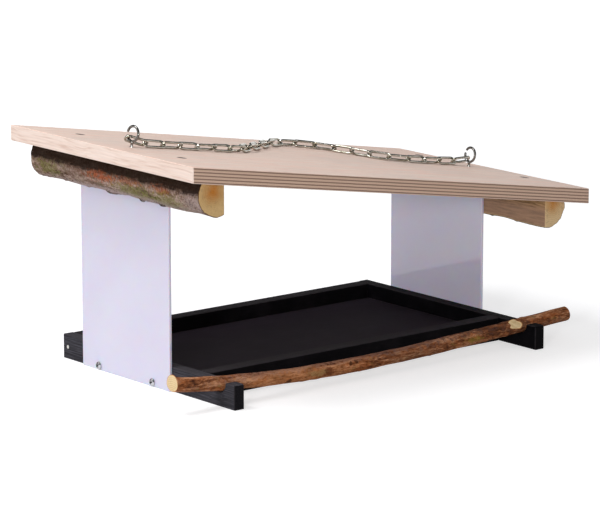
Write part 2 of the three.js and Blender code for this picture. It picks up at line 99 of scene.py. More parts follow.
def grid(x, y, z):
    """Points from their three coordinates, which are first spread over one common grid."""
    return np.stack(np.broadcast_arrays(x, y, z), axis=-1)


def tube(rings, loop=False):
    """Points, four-sided faces and end triangles of a tube through rings[station, round, xyz]."""
    stations, around = rings.shape[:2]
    station = np.arange(stations if loop else stations - 1)[:, None]
    here = station * around
    after = (station + 1) % stations * around
    side = np.arange(around)
    beside = (side + 1) % around
    quads = np.stack([here + side, here + beside, after + beside, after + side], axis=-1).reshape(-1, 4)
    points = rings.reshape(-1, 3)
    if loop:
        return points, quads, np.empty((0, 3), int)
    poles = np.stack([rings[0].mean(axis=0), rings[-1].mean(axis=0)])
    last = (stations - 1) * around
    start = np.stack([beside, side, np.full(around, stations * around)], axis=-1)
    end = np.stack([last + side, last + beside, np.full(around, stations * around + 1)], axis=-1)
    return np.concatenate([points, poles]), quads, np.concatenate([start, end])


def with_poles(values):
    """The marks of a tube's rings, followed by the mean of its first ring and of its last."""
    return np.concatenate([values.ravel(), [values[0].mean(), values[-1].mean()]])


print("a tube of 3 rings of 4 points has", len(tube(np.zeros((3, 4, 3)))[1]), "four-sided faces")

# %% [markdown]
# Tubes become a mesh that rides on its body and takes the place of a packed solid. Faces could be made
# one by one, but handing whole arrays to Blender is far quicker. The signed volume tells whether the
# faces point outwards, and if not, they are turned. Marks are numbers kept for each point, such as the
# depth under the bark, which a finish can read.

# %% From tubes to pieces
def signed_volume(points, triangles):
    """A sixth of the sum of a . (b x c) over the triangles, above zero where the faces point outwards."""
    a, b, c = (points[triangles[:, corner]] for corner in range(3))
    return np.einsum("ij,ij->i", a, np.cross(b, c)).sum() / 6


def mesh_of(name, points, quads, triangles, marks):
    """A smooth mesh in metres whose first faces have four corners and whose last have three."""
    corners = np.concatenate([quads.ravel(), triangles.ravel()]).astype(np.int32)
    starts = np.concatenate([np.arange(len(quads)) * 4, quads.size + np.arange(len(triangles)) * 3])
    mesh = bpy.data.meshes.new(name)
    mesh.vertices.add(len(points))
    mesh.vertices.foreach_set("co", (points * MM).astype(np.float32).ravel())
    mesh.loops.add(len(corners))
    mesh.loops.foreach_set("vertex_index", corners)
    mesh.polygons.add(len(starts))
    mesh.polygons.foreach_set("loop_start", starts.astype(np.int32))
    mesh.polygons.foreach_set("use_smooth", np.ones(len(starts), bool))
    for mark, values in marks.items():
        layer = mesh.attributes.new(mark, "FLOAT", "POINT")
        layer.data.foreach_set("value", np.asarray(values, np.float32).ravel())
    mesh.update(calc_edges=True)
    return mesh


def make_piece(name, solids, body, replaced, marks=None):
    """One piece from several closed solids of points, quads and triangles, in place of a packed solid."""
    parts, count, volume = [], 0, 0.0
    for points, quads, triangles in solids:
        size = signed_volume(points, np.concatenate([triangles, quads[:, [0, 1, 2]], quads[:, [0, 2, 3]]]))
        if size < 0:
            quads, triangles = quads[:, ::-1], triangles[:, ::-1]
        parts.append((points, quads + count, triangles + count))
        count += len(points)
        volume += abs(size)
    points, quads, triangles = map(np.concatenate, zip(*parts))
    mesh = mesh_of(name, points, quads, triangles, marks or {})
    piece = bpy.data.objects.new(name, mesh)
    bpy.context.scene.collection.objects.link(piece)
    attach(piece, body)
    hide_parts(replaced)
    print(name, len(mesh.polygons), "faces,", round(volume / 1000, 2), "cubic centimetres")
    return piece


print("volume of a corner of the unit cube:", round(signed_volume(np.eye(3), np.array([[0, 1, 2]])), 3))

# %% [markdown]
# Bark needs unevenness that looks grown. A sculptor would push it in by hand. Here it comes from smooth
# noise: a random number for each corner of a lattice of cubes, blended inside each cube. Several sizes
# of it added together give lumps with smaller lumps on them. The numbers come from the lattice places
# and a seed, so each run gives the same bark.

# %% Smooth noise in space
primes = (73856093, 19349663, 83492791, 2654435761)
last_prime, low_bits = 1274126177, 0xFFFFFFFF


def corner_numbers(cells, seed):
    """A number from -1 to 1 for each whole place: its three counts and the seed are mixed into a hash."""
    mixed = 0
    for count, prime in zip((*np.moveaxis(cells, -1, 0), seed), primes):
        mixed = mixed ^ count * prime
    mixed = (mixed ^ (mixed >> 13)) * last_prime & low_bits
    return (mixed ^ (mixed >> 16)) / 2**31 - 1


def smooth_noise(points, size, seed):
    """Corner numbers blended by t*t*(3-2t) along each edge of the cube that a point lies in."""
    place = points / size
    cell = np.floor(place).astype(np.int64)
    part = place - cell
    weight = part * part * (3 - 2 * part)
    total = np.zeros(points.shape[:-1])
    for corner in np.ndindex(2, 2, 2):
        share = np.where(corner, weight, 1 - weight).prod(axis=-1)
        total += share * corner_numbers(cell + corner, seed)
    return total


def rough_noise(points, size, seed, layers=3):
    """Layers of smooth noise, each half as large and half as strong as the one before."""
    return sum(smooth_noise(points, np.asarray(size) / 2**k, seed + k) / 2**k for k in range(layers))


print("noise at one point:", round(float(smooth_noise(np.array([[1.5, 2.5, 3.5]]), 2.0, 1)[0]), 3))

# %% [markdown]
# The bark of a log is a stem that is nearly round. Slow waves round it and along it make it bulge, and
# noise gives it long ridges, lumps and a few warts. The left log has stubs of twigs along its lower edge
# and the right one a hollow underneath. Each could be a shape of its own, but then it would show a seam,
# so each is a bell-shaped rise or dip of the stem's radius.

# %% Bark of the logs
logs = {
    "left": dict(
        side=-1, diameter=44.6, out=8.0, down=10.2, front=22.0, back=0.5, phase=0.0, seed=11, dent=0.0
    ),
    "right": dict(
        side=1, diameter=43.4, out=3.6, down=7.8, front=17.0, back=6.0, phase=2.4, seed=23, dent=2.6
    ),
}
# The hollow's place along y and its reach.
dent_place, dent_reach = -92.0, 34.0
# The place of each stub along y, its angle round the stem, its height and its reach.
twig_stubs = {
    "left": [(1.0, 3.38, 1.9, 6.5), (-48.0, 3.46, 1.7, 2.8), (-78.0, 3.4, 1.8, 3.4)],
    "right": [],
}
# How often each wave goes round the stem and along it, and its height as a share of the radius.
log_waves = ((2, 1.1, 0.018), (3, 2.3, 0.014), (5, 3.1, 0.009), (1, 4.7, 0.012))
ridge_size, lump_size, wart_size = [3.2, 16.0, 3.2], 19.0, 5.5
ridge_height, lump_height, wart_height = 0.32, 0.45, 2.2
wart_level = 0.5
lump_seed, wart_seed = 7, 13


def bark_share(waves, angle, along, phase):
    """One plus slow waves round and along the stem, as shares of its radius."""
    return 1 + sum(
        height * np.sin(turns * angle + TURN * lengthwise * along + phase * turns)
        for turns, lengthwise, height in waves
    )


def bark_relief(points, seed):
    """Long ridges along Y, lumps, and a few round warts where the noise is highest, in millimetres."""
    ridges = rough_noise(points / ridge_size, 1.0, seed)
    lumps = smooth_noise(points, lump_size, seed + lump_seed)
    warts = np.clip(smooth_noise(points, wart_size, seed + wart_seed) - wart_level, 0, None)
    return ridge_height * ridges + lump_height * lumps + wart_height * warts


def log_bark(name, log, angle, y, along, nominal):
    """The radius of the bark: waves and relief, less exp(-d*d) for the hollow, plus exp(-d^4) for each
    stub, where d is the distance from its place over its reach."""
    radius = log["diameter"] / 2
    bark = radius * bark_share(log_waves, angle, along, log["phase"]) + bark_relief(nominal, log["seed"])
    hollow = np.exp(-(((y - dent_place) / dent_reach) ** 2)) * np.clip(-np.cos(angle), 0, 1)
    bark = bark - log["dent"] * hollow
    for place, turned, high, wide in twig_stubs[name]:
        away = ((y - place) ** 2 + (radius * (angle - turned)) ** 2) / wide**2
        bark = bark + high * np.exp(-(away**2))
    return bark


print("twig stubs:", {name: len(stubs) for name, stubs in twig_stubs.items()})

# %% [markdown]
# A log lies under each end of the roof. Sawn wood has no knife-sharp edge, so two surfaces meet in a
# small rounding. Bevels could be added to the finished mesh, but they would eat into the bark's relief.
# A soft minimum of the two distances rounds the edge while the shape is worked out. The sawn ends are
# closed by smaller and smaller rings, shared by the logs and the perch.

# %% Places, edges and ends of the logs
end_shares = np.array([0.02, 0.1, 0.2, 0.3, 0.4, 0.5, 0.6, 0.7, 0.78, 0.85, 0.9, 0.94, 0.97, 0.99])
edge_steps = len(end_shares)


def soft_least(a, b, blend):
    """The smaller of two numbers, rounded off where they differ by less than blend."""
    near = np.clip(0.5 + 0.5 * (b - a) / blend, 0, 1)
    return b + (a - b) * near - blend * near * (1 - near)


def log_middle(log):
    """A log's middle in x and z: outwards from its sawn side and down from the roof's underside."""
    x = log["side"] * (log_face + log["out"])
    return np.array([x, underside(x) - log["down"]])


def log_ends(log):
    """The middle of a log along Y, and half its length."""
    front, back = roof_front + log["front"], roof_back - log["back"]
    return (front + back) / 2, (back - front) / 2


def with_end_faces(reach):
    """Smaller rings before the first ring and after the last, which close the sawn ends."""
    shares = end_shares[:, None]
    return np.concatenate([shares * reach[:1], reach, shares[::-1] * reach[-1:]])


for name, log in logs.items():
    print(name, "log: middle in x and z", log_middle(log).round(1), "half length", log_ends(log)[1])

# %% [markdown]
# The roof rests on the two logs. Each was sawn off flat towards the tray and flat along the roof, with
# its bark left on. Cutting a cylinder with two planes would do, but then the bark could not be finely
# uneven. Instead, a ray leaves the middle of the stem in every direction and stops at the nearest of
# three things: the bark, the sawn side or the sawn top. How deep that point lies under the bark is kept
# as a mark, so that one finish can show bark, its dark cut edge and the pale wood.

# %% Half logs
log_stations, log_around = 290, 256
sawn_edge, bark_edge, end_edge = 0.4, 0.5, 0.9
saw_depth, saw_spacing, saw_sway = 0.06, 0.9, 9.0
least_facing = 1e-3
end_dome, dome_power, end_relief, end_grit = 0.5, 24, 0.12, 1.7
saw_seed, front_seed, back_seed = 5, 3, 4


def half_log(name, log):
    """Rings along Y: middle + ray * (sin a, cos a), with the ray's length as told above, and the depth
    under the bark."""
    middle_x, middle_z = log_middle(log)
    middle_y, half = log_ends(log)
    front, back = middle_y - half, middle_y + half
    angle = angles(log_around)
    along = np.linspace(0, 1, log_stations)[:, None]
    y = front + (back - front) * along
    radius = log["diameter"] / 2
    nominal = grid(radius * np.sin(angle), y, radius * np.cos(angle))
    bark = log_bark(name, log, angle, y, along, nominal)
    saw_marks = saw_depth * np.sin(y / saw_spacing + smooth_noise(nominal, saw_sway, saw_seed))
    to_side = (log["out"] + saw_marks) / np.maximum(-log["side"] * np.sin(angle), least_facing)
    facing_top = np.sin(angle) * np.sin(roof_tilt) + np.cos(angle) * np.cos(roof_tilt)
    to_top = (log["down"] * np.cos(roof_tilt) - fit_gap) / np.maximum(facing_top, least_facing)
    reach = with_end_faces(soft_least(bark, soft_least(to_side, to_top, sawn_edge), bark_edge))
    depth = np.concatenate([bark[:1]] * edge_steps + [bark] + [bark[-1:]] * edge_steps) - reach
    rise = end_dome * end_shares[:, None] ** dome_power
    y = np.concatenate([front + rise, y, back - rise[::-1]])
    y[edge_steps], y[-edge_steps - 1] = front + end_edge, back - end_edge
    rings = grid(middle_x + reach * np.sin(angle), y, middle_z + reach * np.cos(angle))
    rings[:edge_steps, :, 1] += end_relief * smooth_noise(rings[:edge_steps], end_grit, front_seed)
    rings[-edge_steps:, :, 1] += end_relief * smooth_noise(rings[-edge_steps:], end_grit, back_seed)
    return rings, depth


log_pieces = {}
for name, log in logs.items():
    rings, depth = half_log(name, log)
    marks = {"under_bark": with_poles(depth)}
    log_pieces[name] = make_piece(
        "half_log_" + name, [tube(rings)], "table", "log_" + name, marks
    )

# %% [markdown]
# The perch is a natural branch. It lies in a saddle in each side rail, sags between them, swings up at
# its left end and swells a little at the cut there. A spline pulled into shape by hand would do, but a
# parabola with a tilt in it gives the same line from the sizes of the tray.

# %% The line of the perch
tray_length = 392.0
rail_thickness = 12.0
rail_height = 24.0
rail_middle = (tray_length - rail_thickness) / 2
rail_front = -162.5
rail_tip = 13.5
tray_inner = tray_length / 2 - rail_thickness
perch_length = 497.0
perch_shift = 2.0
perch_left = -perch_length / 2 - perch_shift
perch_sag, perch_crook = 7.0, 2.5
packed_radius, saddle_slack, saddle_wall = 7.7, 1.8, 0.8
saddle_radius = packed_radius + saddle_slack
saddle_floor = rail_height - saddle_wall - saddle_radius
perch_line = rail_front + rail_tip + saddle_radius
mean_radius, widening = 7.05, 0.01
cut_swell, cut_swell_reach = 1.3, 4.0


def perch_radius(x):
    """The mean radius, plus a small share that grows to the right and a swelling at the left cut."""
    swell = cut_swell * np.exp(-(x - perch_left) / cut_swell_reach)
    return mean_radius * (1 + widening * x / rail_middle) + swell


def perch_centre(x):
    """A parabola that is lowest in the middle and steeper on the left, resting in both saddles."""
    share = x / rail_middle
    steepest = 2 * (perch_sag + perch_crook) / rail_middle
    seat = saddle_floor + fit_gap + perch_radius(x) + steepest * rail_thickness / 2
    z = seat - (1 - share * share) * (perch_sag - perch_crook * share)
    return grid(x, perch_line, z)


print("the perch runs along y =", perch_line, "and dips to", round(float(perch_centre(0.0)[2]), 2))

# %% [markdown]
# A side branch was sawn off near the right end. It could be a second cylinder joined to the first, but
# as one surface the two have no seam: each ray from the middle of the perch runs out to the bark of the
# perch, or to the bark or sawn face of the side branch, whichever is farther. This cell works out how
# far a ray runs inside the side branch.

# %% The side branch
stub_wide, stub_high = 9.4, 6.6
stub_length = 9.6
stub_out = 10.5
stub_x = tray_inner - stub_out
stub_swing, stub_rise = 0.3, 0.62
stub_turned = np.array([-np.sin(stub_swing), -np.cos(stub_rise), np.sin(stub_rise)])
stub_outward = stub_turned / np.linalg.norm(stub_turned)
stub_torn_edge, stub_torn_face = 0.24, 1.4
torn_at, torn_size, torn_seed = 9.0, 5.0, 43
least_rise, least_square = 0.05, 1e-6


def stub_reach(centre, ray):
    """How far a ray runs inside the side branch: to the far wall of its oval cylinder or to its sawn
    face. Lengths across are divided by the oval's radii, which makes it a circle of radius one. Noise
    makes the wall and the face uneven, because the side branch was sawn by hand. The second number is
    the depth of the sawn face's point under the side branch's bark."""
    uneven = smooth_noise(centre + torn_at * ray, torn_size, torn_seed) - 0.5
    level = np.cross(stub_outward, [0.0, 0.0, 1.0])
    level = level / np.linalg.norm(level)
    axes = np.stack([level / stub_wide, np.cross(stub_outward, level) / stub_high], axis=-1)
    from_foot = centre - perch_centre(stub_x)
    up_here, up_ray = from_foot @ stub_outward, ray @ stub_outward
    across_here, across_ray = from_foot @ axes, ray @ axes
    edge = 1 + stub_torn_edge * uneven
    a = (across_ray**2).sum(-1)
    b = (across_here * across_ray).sum(-1)
    c = (across_here**2).sum(-1) - edge**2
    inside = b * b - a * c
    root = np.sqrt(np.maximum(inside, 0))
    wall = np.where(inside > 0, (root - b) / np.maximum(a, least_square), 0)
    to_face = (stub_length + stub_torn_face * uneven - up_here) / np.maximum(up_ray, least_rise)
    face = np.where(up_ray > least_rise, to_face, 0)
    reach = np.minimum(wall, face)
    spread = np.linalg.norm(across_here + reach[..., None] * across_ray, axis=-1)
    sawn = (face < wall) & (reach > 0)
    return np.maximum(reach, 0), np.where(sawn, (edge - spread) * stub_high, 0)


print("the side branch points along", stub_outward.round(2).tolist())

# %% [markdown]
# The bark of the perch is thinner and smoother than that of the logs: low knots and fine ridges along it.
# It could share the logs' relief, but their warts are far too coarse for a thin branch. The rings stand
# closer together at the side branch, where the surface turns sharply.

# %% Perch
perch_waves = ((2, 3.7, 0.02), (3, 6.1, 0.015), (1, 11.3, 0.018))
perch_phase = 1.0
perch_stations, perch_around = 380, 112
fine_stations = stub_x + np.arange(-16, 12, 0.4)
knot_size, knot_level, knot_height, knot_seed = 9.0, 0.45, 1.3, 41
fine_ridge_size, fine_ridge_height, fine_ridge_seed = [13.0, 2.0, 2.0], 0.1, 42
perch_edge, perch_end_relief, perch_grit = 0.5, 0.15, 1.3
left_seed, right_seed = 8, 9


def branch():
    """Rings in the YZ plane, centre + ray * (cos a, sin a), and the depth under the bark."""
    x = np.linspace(perch_left, perch_left + perch_length, perch_stations)
    x = np.unique(np.round(np.concatenate([x, fine_stations]), 3))
    along = ((x - perch_left) / perch_length)[:, None]
    angle = angles(perch_around)
    ray = np.broadcast_to(grid(0.0, np.cos(angle), np.sin(angle)), (len(x), perch_around, 3))
    centre = perch_centre(x)[:, None, :]
    mean = perch_radius(x)[:, None]
    nominal = centre + ray * mean[..., None]
    knots = np.clip(smooth_noise(nominal, knot_size, knot_seed) - knot_level, 0, None)
    ridges = rough_noise(nominal / fine_ridge_size, 1.0, fine_ridge_seed)
    bark = mean * bark_share(perch_waves, angle, along, perch_phase)
    bark = bark + fine_ridge_height * ridges + knot_height * knots
    stub, under = stub_reach(centre, ray)
    on_stub = stub > bark
    reach = np.where(on_stub, stub, bark)
    left_end, right_end = reach[:1], reach[-1:]
    shares = end_shares[:, None]
    depth = np.where(on_stub, under, 0)
    depth = np.concatenate([(1 - shares) * left_end, depth, (1 - shares[::-1]) * right_end])
    centre = np.pad(centre, ((edge_steps, edge_steps), (0, 0), (0, 0)), "edge")
    rings = centre + ray[:1] * with_end_faces(reach)[..., None]
    rings[edge_steps, :, 0] += perch_edge
    rings[-edge_steps - 1, :, 0] -= perch_edge
    left_relief = smooth_noise(rings[:edge_steps], perch_grit, left_seed)
    right_relief = smooth_noise(rings[-edge_steps:], perch_grit, right_seed)
    rings[:edge_steps, :, 0] += perch_end_relief * (1 + left_relief)
    rings[-edge_steps:, :, 0] -= perch_end_relief * (1 + right_relief)
    return rings, depth


rings, depth = branch()
marks = {"under_bark": with_poles(depth)}
perch = make_piece("perch", [tube(rings)], "table", "perch_branch", marks)

# %% [markdown]
# The chain hangs the table. Each link is a bent wire whose ends meet in the middle of one long side. A
# torus could be pulled apart, but a wire carried along its own path keeps its thickness everywhere, and
# its ends can be thinned a little, so that the butt joint shows.

# %% The shape of a link
link_wire = 2.5
link_straight = 8.0
link_round = 3.75
link_around, bend_steps = 16, 16
straight_step = 4.0
near_joint = np.array([0.1, 0.25, 0.45, 0.9])
joint_chamfer = 0.3


def link_rings():
    """A wire's rings along two straight sides and two half circles, thinner at the butt joint."""
    bend = np.pi * link_round
    lengths = np.array([link_straight, bend, 2 * link_straight, bend, link_straight])
    # Where each bend and each side after the first starts, and the length of the whole wire.
    bend_one, side_two, bend_two, side_three, whole = np.cumsum(lengths)
    first_bend = np.linspace(bend_one, side_two, bend_steps, endpoint=False)
    second_bend = np.linspace(bend_two, side_three, bend_steps, endpoint=False)
    long_side = side_two + straight_step * np.arange(4)
    last_side = [side_three, side_three + straight_step]
    way = [near_joint, [straight_step], first_bend, long_side, second_bend, last_side]
    way = np.unique(np.round(np.concatenate([*way, whole - near_joint]), 6))
    first, second = (way - bend_one) / link_round, (way - bend_two) / link_round
    turn = np.clip(first, 0, np.pi) + np.clip(second, 0, np.pi)
    x = np.select(
        [way < bend_one, way < side_two, way < bend_two, way < side_three],
        [
            way,
            link_straight + link_round * np.sin(first),
            link_straight - (way - side_two),
            -link_straight - link_round * np.sin(second),
        ],
        -link_straight + (way - side_three),
    )
    to_joint = np.minimum(way, whole - way)
    radius = link_wire / 2 - joint_chamfer * np.clip(1 - to_joint / joint_chamfer, 0, 1)
    angle = angles(link_around)
    outward = grid(np.sin(turn), -np.cos(turn), 0.0)
    rings = np.cos(angle)[None, :, None] * outward[:, None, :]
    rings[..., 2] += np.sin(angle)
    return grid(x, link_round * -np.cos(turn), 0.0)[:, None, :] + radius[:, None, None] * rings


link_shape = link_rings()
print("a link has", len(link_shape), "rings of", link_around, "points")

# %% [markdown]
# The places of the links come from the packed links, because those pass through each other without
# touching. Twenty-five places could be typed in, but they can be read off the solids: the longest,
# middle and shortest spread of a link's points are its length, its width and the direction across it.

# %% Links in their places
hair = 1e-9


def node_points(name):
    """The points of a packed solid, in millimetres."""
    mesh = nodes[name].data
    points = np.empty(len(mesh.vertices) * 3, np.float32)
    mesh.vertices.foreach_get("co", points)
    return points.reshape(-1, 3).astype(float) / MM


def link_axes(points):
    """The directions in which the points spread most and second most, and the one across both."""
    spread = points - points.mean(axis=0)
    longest, middle = np.linalg.svd(spread, full_matrices=False)[2][:2]
    along = longest * np.sign(longest[0])
    across = middle * np.sign(middle[1] + hair)
    return np.stack([along, across, np.cross(along, across)])


link_pieces = []
for name in sorted(name for name in nodes if name.startswith("chain_link_")):
    points = node_points(name)
    low, high = points.min(axis=0), points.max(axis=0)
    placed = link_shape @ link_axes(points) + (low + high) / 2
    piece_name = name.replace("chain_link", "wire_link")
    link = make_piece(piece_name, [tube(placed, loop=True)], "chain", name)
    link_pieces.append(link)

# %% [markdown]
# Two screw eyes hold the ends of the chain. Each is a wire bent to a ring, on a threaded shank that goes
# through the roof into the log. A ring and a cylinder would look welded. The wire here ends in rounded
# tips beside an open mouth, and the shank has a thread, worked out as a radius that rises and falls
# along a helix.

# %% The shape of a screw eye
eye_wire = 2.58
eye_radius = 7.2
eye_mouth = 2.2
eye_stations, eye_around = 72, 20
tip_length, least_tip = 0.9, 0.02
shank_stations, shank_around, least_radius = 110, 24, 0.05
eye_pitch, eye_thread, eye_thread_top = 1.3, 0.45, -1.0
crest_sharpness = 3.2


def thread_height(way, angle, pitch):
    """A ridge once for each pitch that the way and the angle gain together, sharp at its crest."""
    share = (way / pitch - angle / TURN) % 1
    return np.clip(1 - np.abs(share - 0.5) * crest_sharpness, 0, 1)


def eye_rings(eye):
    """The ring: an arc in the YZ plane, round which the wire's radius closes like a ball at both tips."""
    mouth = eye_mouth / eye_radius
    share = np.linspace(0, 1, eye_stations)
    bend = eye["mouth"] + mouth / 2 + share * (TURN - mouth)
    to_tip = np.minimum(share, 1 - share) * (TURN - mouth) * eye_radius
    ball = 1 - (1 - np.clip(to_tip / tip_length, 0, 1)) ** 2
    wire = eye_wire / 2 * np.sqrt(np.clip(ball, least_tip, 1))
    outward = grid(0.0, np.sin(bend), np.cos(bend))
    angle = angles(eye_around)
    rings = np.cos(angle)[None, :, None] * outward[:, None, :]
    rings[..., 0] += np.sin(angle)
    centre = eye_radius * outward + [0, 0, eye["rise"]]
    return centre[:, None, :] + wire[:, None, None] * rings


def shank_rings(profile):
    """Rings on the Z axis from pairs of radius and height, with a thread below the roof's top."""
    radius, z = np.array(profile).T
    fine = np.unique(np.concatenate([np.linspace(z[0], eye_thread_top, shank_stations), z]))[:, None]
    base = np.interp(fine, z, radius)
    angle = angles(shank_around)
    on = np.clip((eye_thread_top - fine) / eye_pitch, 0, 1) * np.clip(base / radius.max(), 0, 1)
    reach = base - eye_thread * on * (1 - thread_height(fine, angle, eye_pitch))
    reach = np.maximum(reach, least_radius)
    return grid(reach * np.cos(angle), reach * np.sin(angle), fine)


print("an eye is", round(2 * eye_radius + eye_wire, 2), "mm across")

# %% [markdown]
# The eyes stand on the middle line of the roof, over the logs, square to the slope. They could be placed
# in the table's frame, but the slope would then be in every number. In the roof's own frame, a place
# along the slope is enough, and the whole eye is turned into the table's frame at the end.

# %% Screw eyes in their places
eye_line = (roof_front + roof_back) / 2
eyes = {
    "left": dict(side=-1, out=17.5, rise=12.6, turn=0.12, mouth=1.62),
    "right": dict(side=1, out=9.0, rise=12.0, turn=0.0, mouth=1.2),
}
# Pairs of radius and height: the first five from the roof's top, the others from the foot of the ring.
shank_low = [(0.1, -32), (1.5, -26), (1.5, -2), (1.5, 0), (1.3, 1.2)]
shank_high = [(1.3, -1.6), (1.7, -0.5), (1.2, 0.3)]


def turn_about_z(points, turn):
    """Points turned about the Z axis by the matrix of cosine and sine, from X towards Y."""
    c, s = np.cos(turn), np.sin(turn)
    return points @ np.array([[c, s, 0], [-s, c, 0], [0, 0, 1]])


eye_pieces = {}
for name, eye in eyes.items():
    foot = eye["rise"] - eye_radius
    profile = shank_low + [(radius, foot + height) for radius, height in shank_high]
    along = eye["side"] * (log_face + eye["out"]) / np.cos(roof_tilt)
    at = np.array([along, eye_line, roof_thickness])
    solids = [
        tube(from_roof(turn_about_z(part, eye["turn"]) + at))
        for part in (eye_rings(eye), shank_rings(profile))
    ]
    eye_pieces[name] = make_piece(
        "screw_eye_wire_" + name, solids, "table", "screw_eye_" + name
    )

# %% [markdown]
# Screws hold the sheets. Their heads show: round pan heads on the sides and flat sunk heads in the roof,
# all with a cross recess. A lathe profile gives the head, and the recess is pressed into it by lowering
# the points inside a cross. The rings are close together there, so its walls stay steep. How far a point
# lies in the recess is kept as a mark for the finish.

# %% The shape of a screw
head_stations, screw_around, thread_stations = 44, 72, 60
bulge_power, bulge_root = 2.8, 2.2
dish, dish_power = 0.05, 6
cross_reach, cross_half, cross_depth, cross_rise = 0.64, 0.19, 0.62, 0.5
bar_width, bar_taper = 1.15, 0.45
side_wall, end_wall = 0.06, 0.08
rim_share = 0.97
screw_pitch, thread_share, thread_start = 1.4, 0.28, 0.4
point_length, least_point = 5.0, 0.03


def head_rings(radius, height, sunk):
    """The top of a head from its middle outwards. A pan head bulges by (1 - (r/R)^2.8)^(1/2.2), and a
    sunk one falls a little towards its rim. A cross of two tapering bars is pressed in, deepest in the
    middle. The second result is 1 inside the cross."""
    r = radius * np.sqrt(np.linspace(0.001, 1, head_stations))[:, None]
    angle = angles(screw_around)
    x, y = r * np.cos(angle), r * np.sin(angle)
    bulge = np.clip(1 - (r / radius) ** bulge_power, 0, 1) ** (1 / bulge_root)
    top = -dish * height * (r / radius) ** dish_power if sunk else height * bulge
    span, half = cross_reach * radius, cross_half * radius
    long, short = np.maximum(np.abs(x), np.abs(y)), np.minimum(np.abs(x), np.abs(y))
    bar = half * (bar_width - bar_taper * long / span)
    wall = np.clip((bar - short) / (side_wall * radius), 0, 1)
    wall = wall * np.clip((span - long) / (end_wall * radius), 0, 1)
    depth = cross_depth * height * (1 - cross_rise * (long / span) ** 2)
    return grid(x, y, top - wall * np.maximum(depth, 0)), wall


def screw(kind):
    """Head rings from the middle of the top out to the rim, then down the shank to its point."""
    radius, height, shank = kind["head"] / 2, kind["height"], kind["shank"] / 2
    top, recess = head_rings(radius, height, kind["sunk"])
    angle = angles(screw_around)
    radii, levels = np.array([[radius * rim_share, shank], [kind["rim"], kind["neck"]]])[..., None]
    collar = grid(radii * np.cos(angle), radii * np.sin(angle), levels)
    way = np.linspace(kind["neck"] - thread_start, -kind["length"], thread_stations)[:, None]
    narrow = np.clip((way + kind["length"]) / point_length, least_point, 1)
    ridge = 1 - thread_share * (1 - thread_height(way, angle, screw_pitch))
    reach = shank * narrow * ridge
    thread = grid(reach * np.cos(angle), reach * np.sin(angle), way)
    rings = np.concatenate([top, collar, thread])
    marks = np.zeros(rings.shape[:2])
    marks[: len(recess)] = recess
    return rings, {"recess": with_poles(marks)}


tray_screw = dict(head=7.6, height=2.6, shank=3.5, length=30, sunk=False, rim=-0.02, neck=-0.05)
log_screw = dict(tray_screw, length=16)
roof_screw = dict(head=8.0, height=2.6, shank=4.0, length=36, sunk=True, rim=-0.12, neck=-2.6)
perch_screw = dict(head=6.0, height=2.0, shank=3.0, length=22, sunk=True, rim=-0.12, neck=-2.0)
print("a roof screw has", len(screw(roof_screw)[0]), "rings of", screw_around, "points")

# %% [markdown]
# Each side panel is held by four screws, two into the tray and two into its log. Four go through the
# roof into the logs, and one from below through each rail into the perch. They could all be turned alike,
# but nobody drives every screw to the same angle, so each corner has an angle of its own.

# %% Screws in their places
panel_shift = 2.0
screw_half_spacing, roof_screw_half_spacing = 43.0, 80.0
panel_inner, panel_outer = tray_length / 2 + fit_gap, log_face - fit_gap
panel_screw_drop = 11.0
tray_screw_height = 4.5
first_turn, turn_step = 0.4, 1.7
roof_screw_out = {"left": 11.0, "right": 17.0}
sides = {"left": -1, "right": 1}
ends = {"front": -1, "back": 1}
screw_pieces = []


def stand_on(points, at, outward, turn):
    """Turns a piece that stands on the XY plane so that its head faces outward, and moves it there."""
    turned = turn_about_z(points, turn)
    rotation = np.array(Vector((0, 0, 1)).rotation_difference(Vector(outward)).to_matrix())
    return turned @ rotation.T + np.asarray(at, float)


def log_screw_level(side):
    """Below the top of a side panel, which follows the roof and is lowest at its right-hand face."""
    lowest = max(side * panel_inner, side * panel_outer)
    return underside(lowest) - fit_gap - panel_screw_drop


def roof_screw_place(side_name, end):
    """A roof screw's place along the slope and along y, over the middle of its log."""
    along = sides[side_name] * (log_face + roof_screw_out[side_name]) / np.cos(roof_tilt)
    return float(along), float(log_ends(logs[side_name])[0] + end * roof_screw_half_spacing)


def drive(name, node, kind, turn, at, outward):
    """Makes one screw, stands it in its place and keeps it for the finish."""
    rings, marks = screw(kind)
    rings = stand_on(rings, at, outward, turn)
    if kind is roof_screw:
        rings = from_roof(rings)
    screw_pieces.append(make_piece(name, [tube(rings)], "table", node, marks))


for side_name, side in sides.items():
    for end_name, end in ends.items():
        mark = side_name + "_" + end_name
        y = panel_shift + end * screw_half_spacing
        turn = first_turn + turn_step * len(screw_pieces)
        at = (side * log_face, y, tray_screw_height)
        drive("pan_head_tray_screw_" + mark, "tray_screw_" + mark, tray_screw, turn, at, (side, 0, 0))
        at = (side * tray_length / 2, y, log_screw_level(side))
        drive("pan_head_log_screw_" + mark, "log_screw_" + mark, log_screw, turn, at, (-side, 0, 0))
        at = (*roof_screw_place(side_name, end), roof_thickness - fit_gap)
        drive("sunk_head_" + mark, "roof_screw_" + mark, roof_screw, turn, at, (0, 0, 1))
    at = (side * rail_middle, perch_line, fit_gap)
    drive("sunk_head_perch_" + side_name, "perch_screw_" + side_name, perch_screw, 0.0, at, (0, 0, -1))

# %% [markdown]
# Finishes are built from shader nodes. A small helper keeps them readable: it adds a node, sets it and
# links it in one line. Colours are written as they show on a screen and turned into the linear values
# that Blender mixes. A place on a piece is read in millimetres, in the piece's own frame.

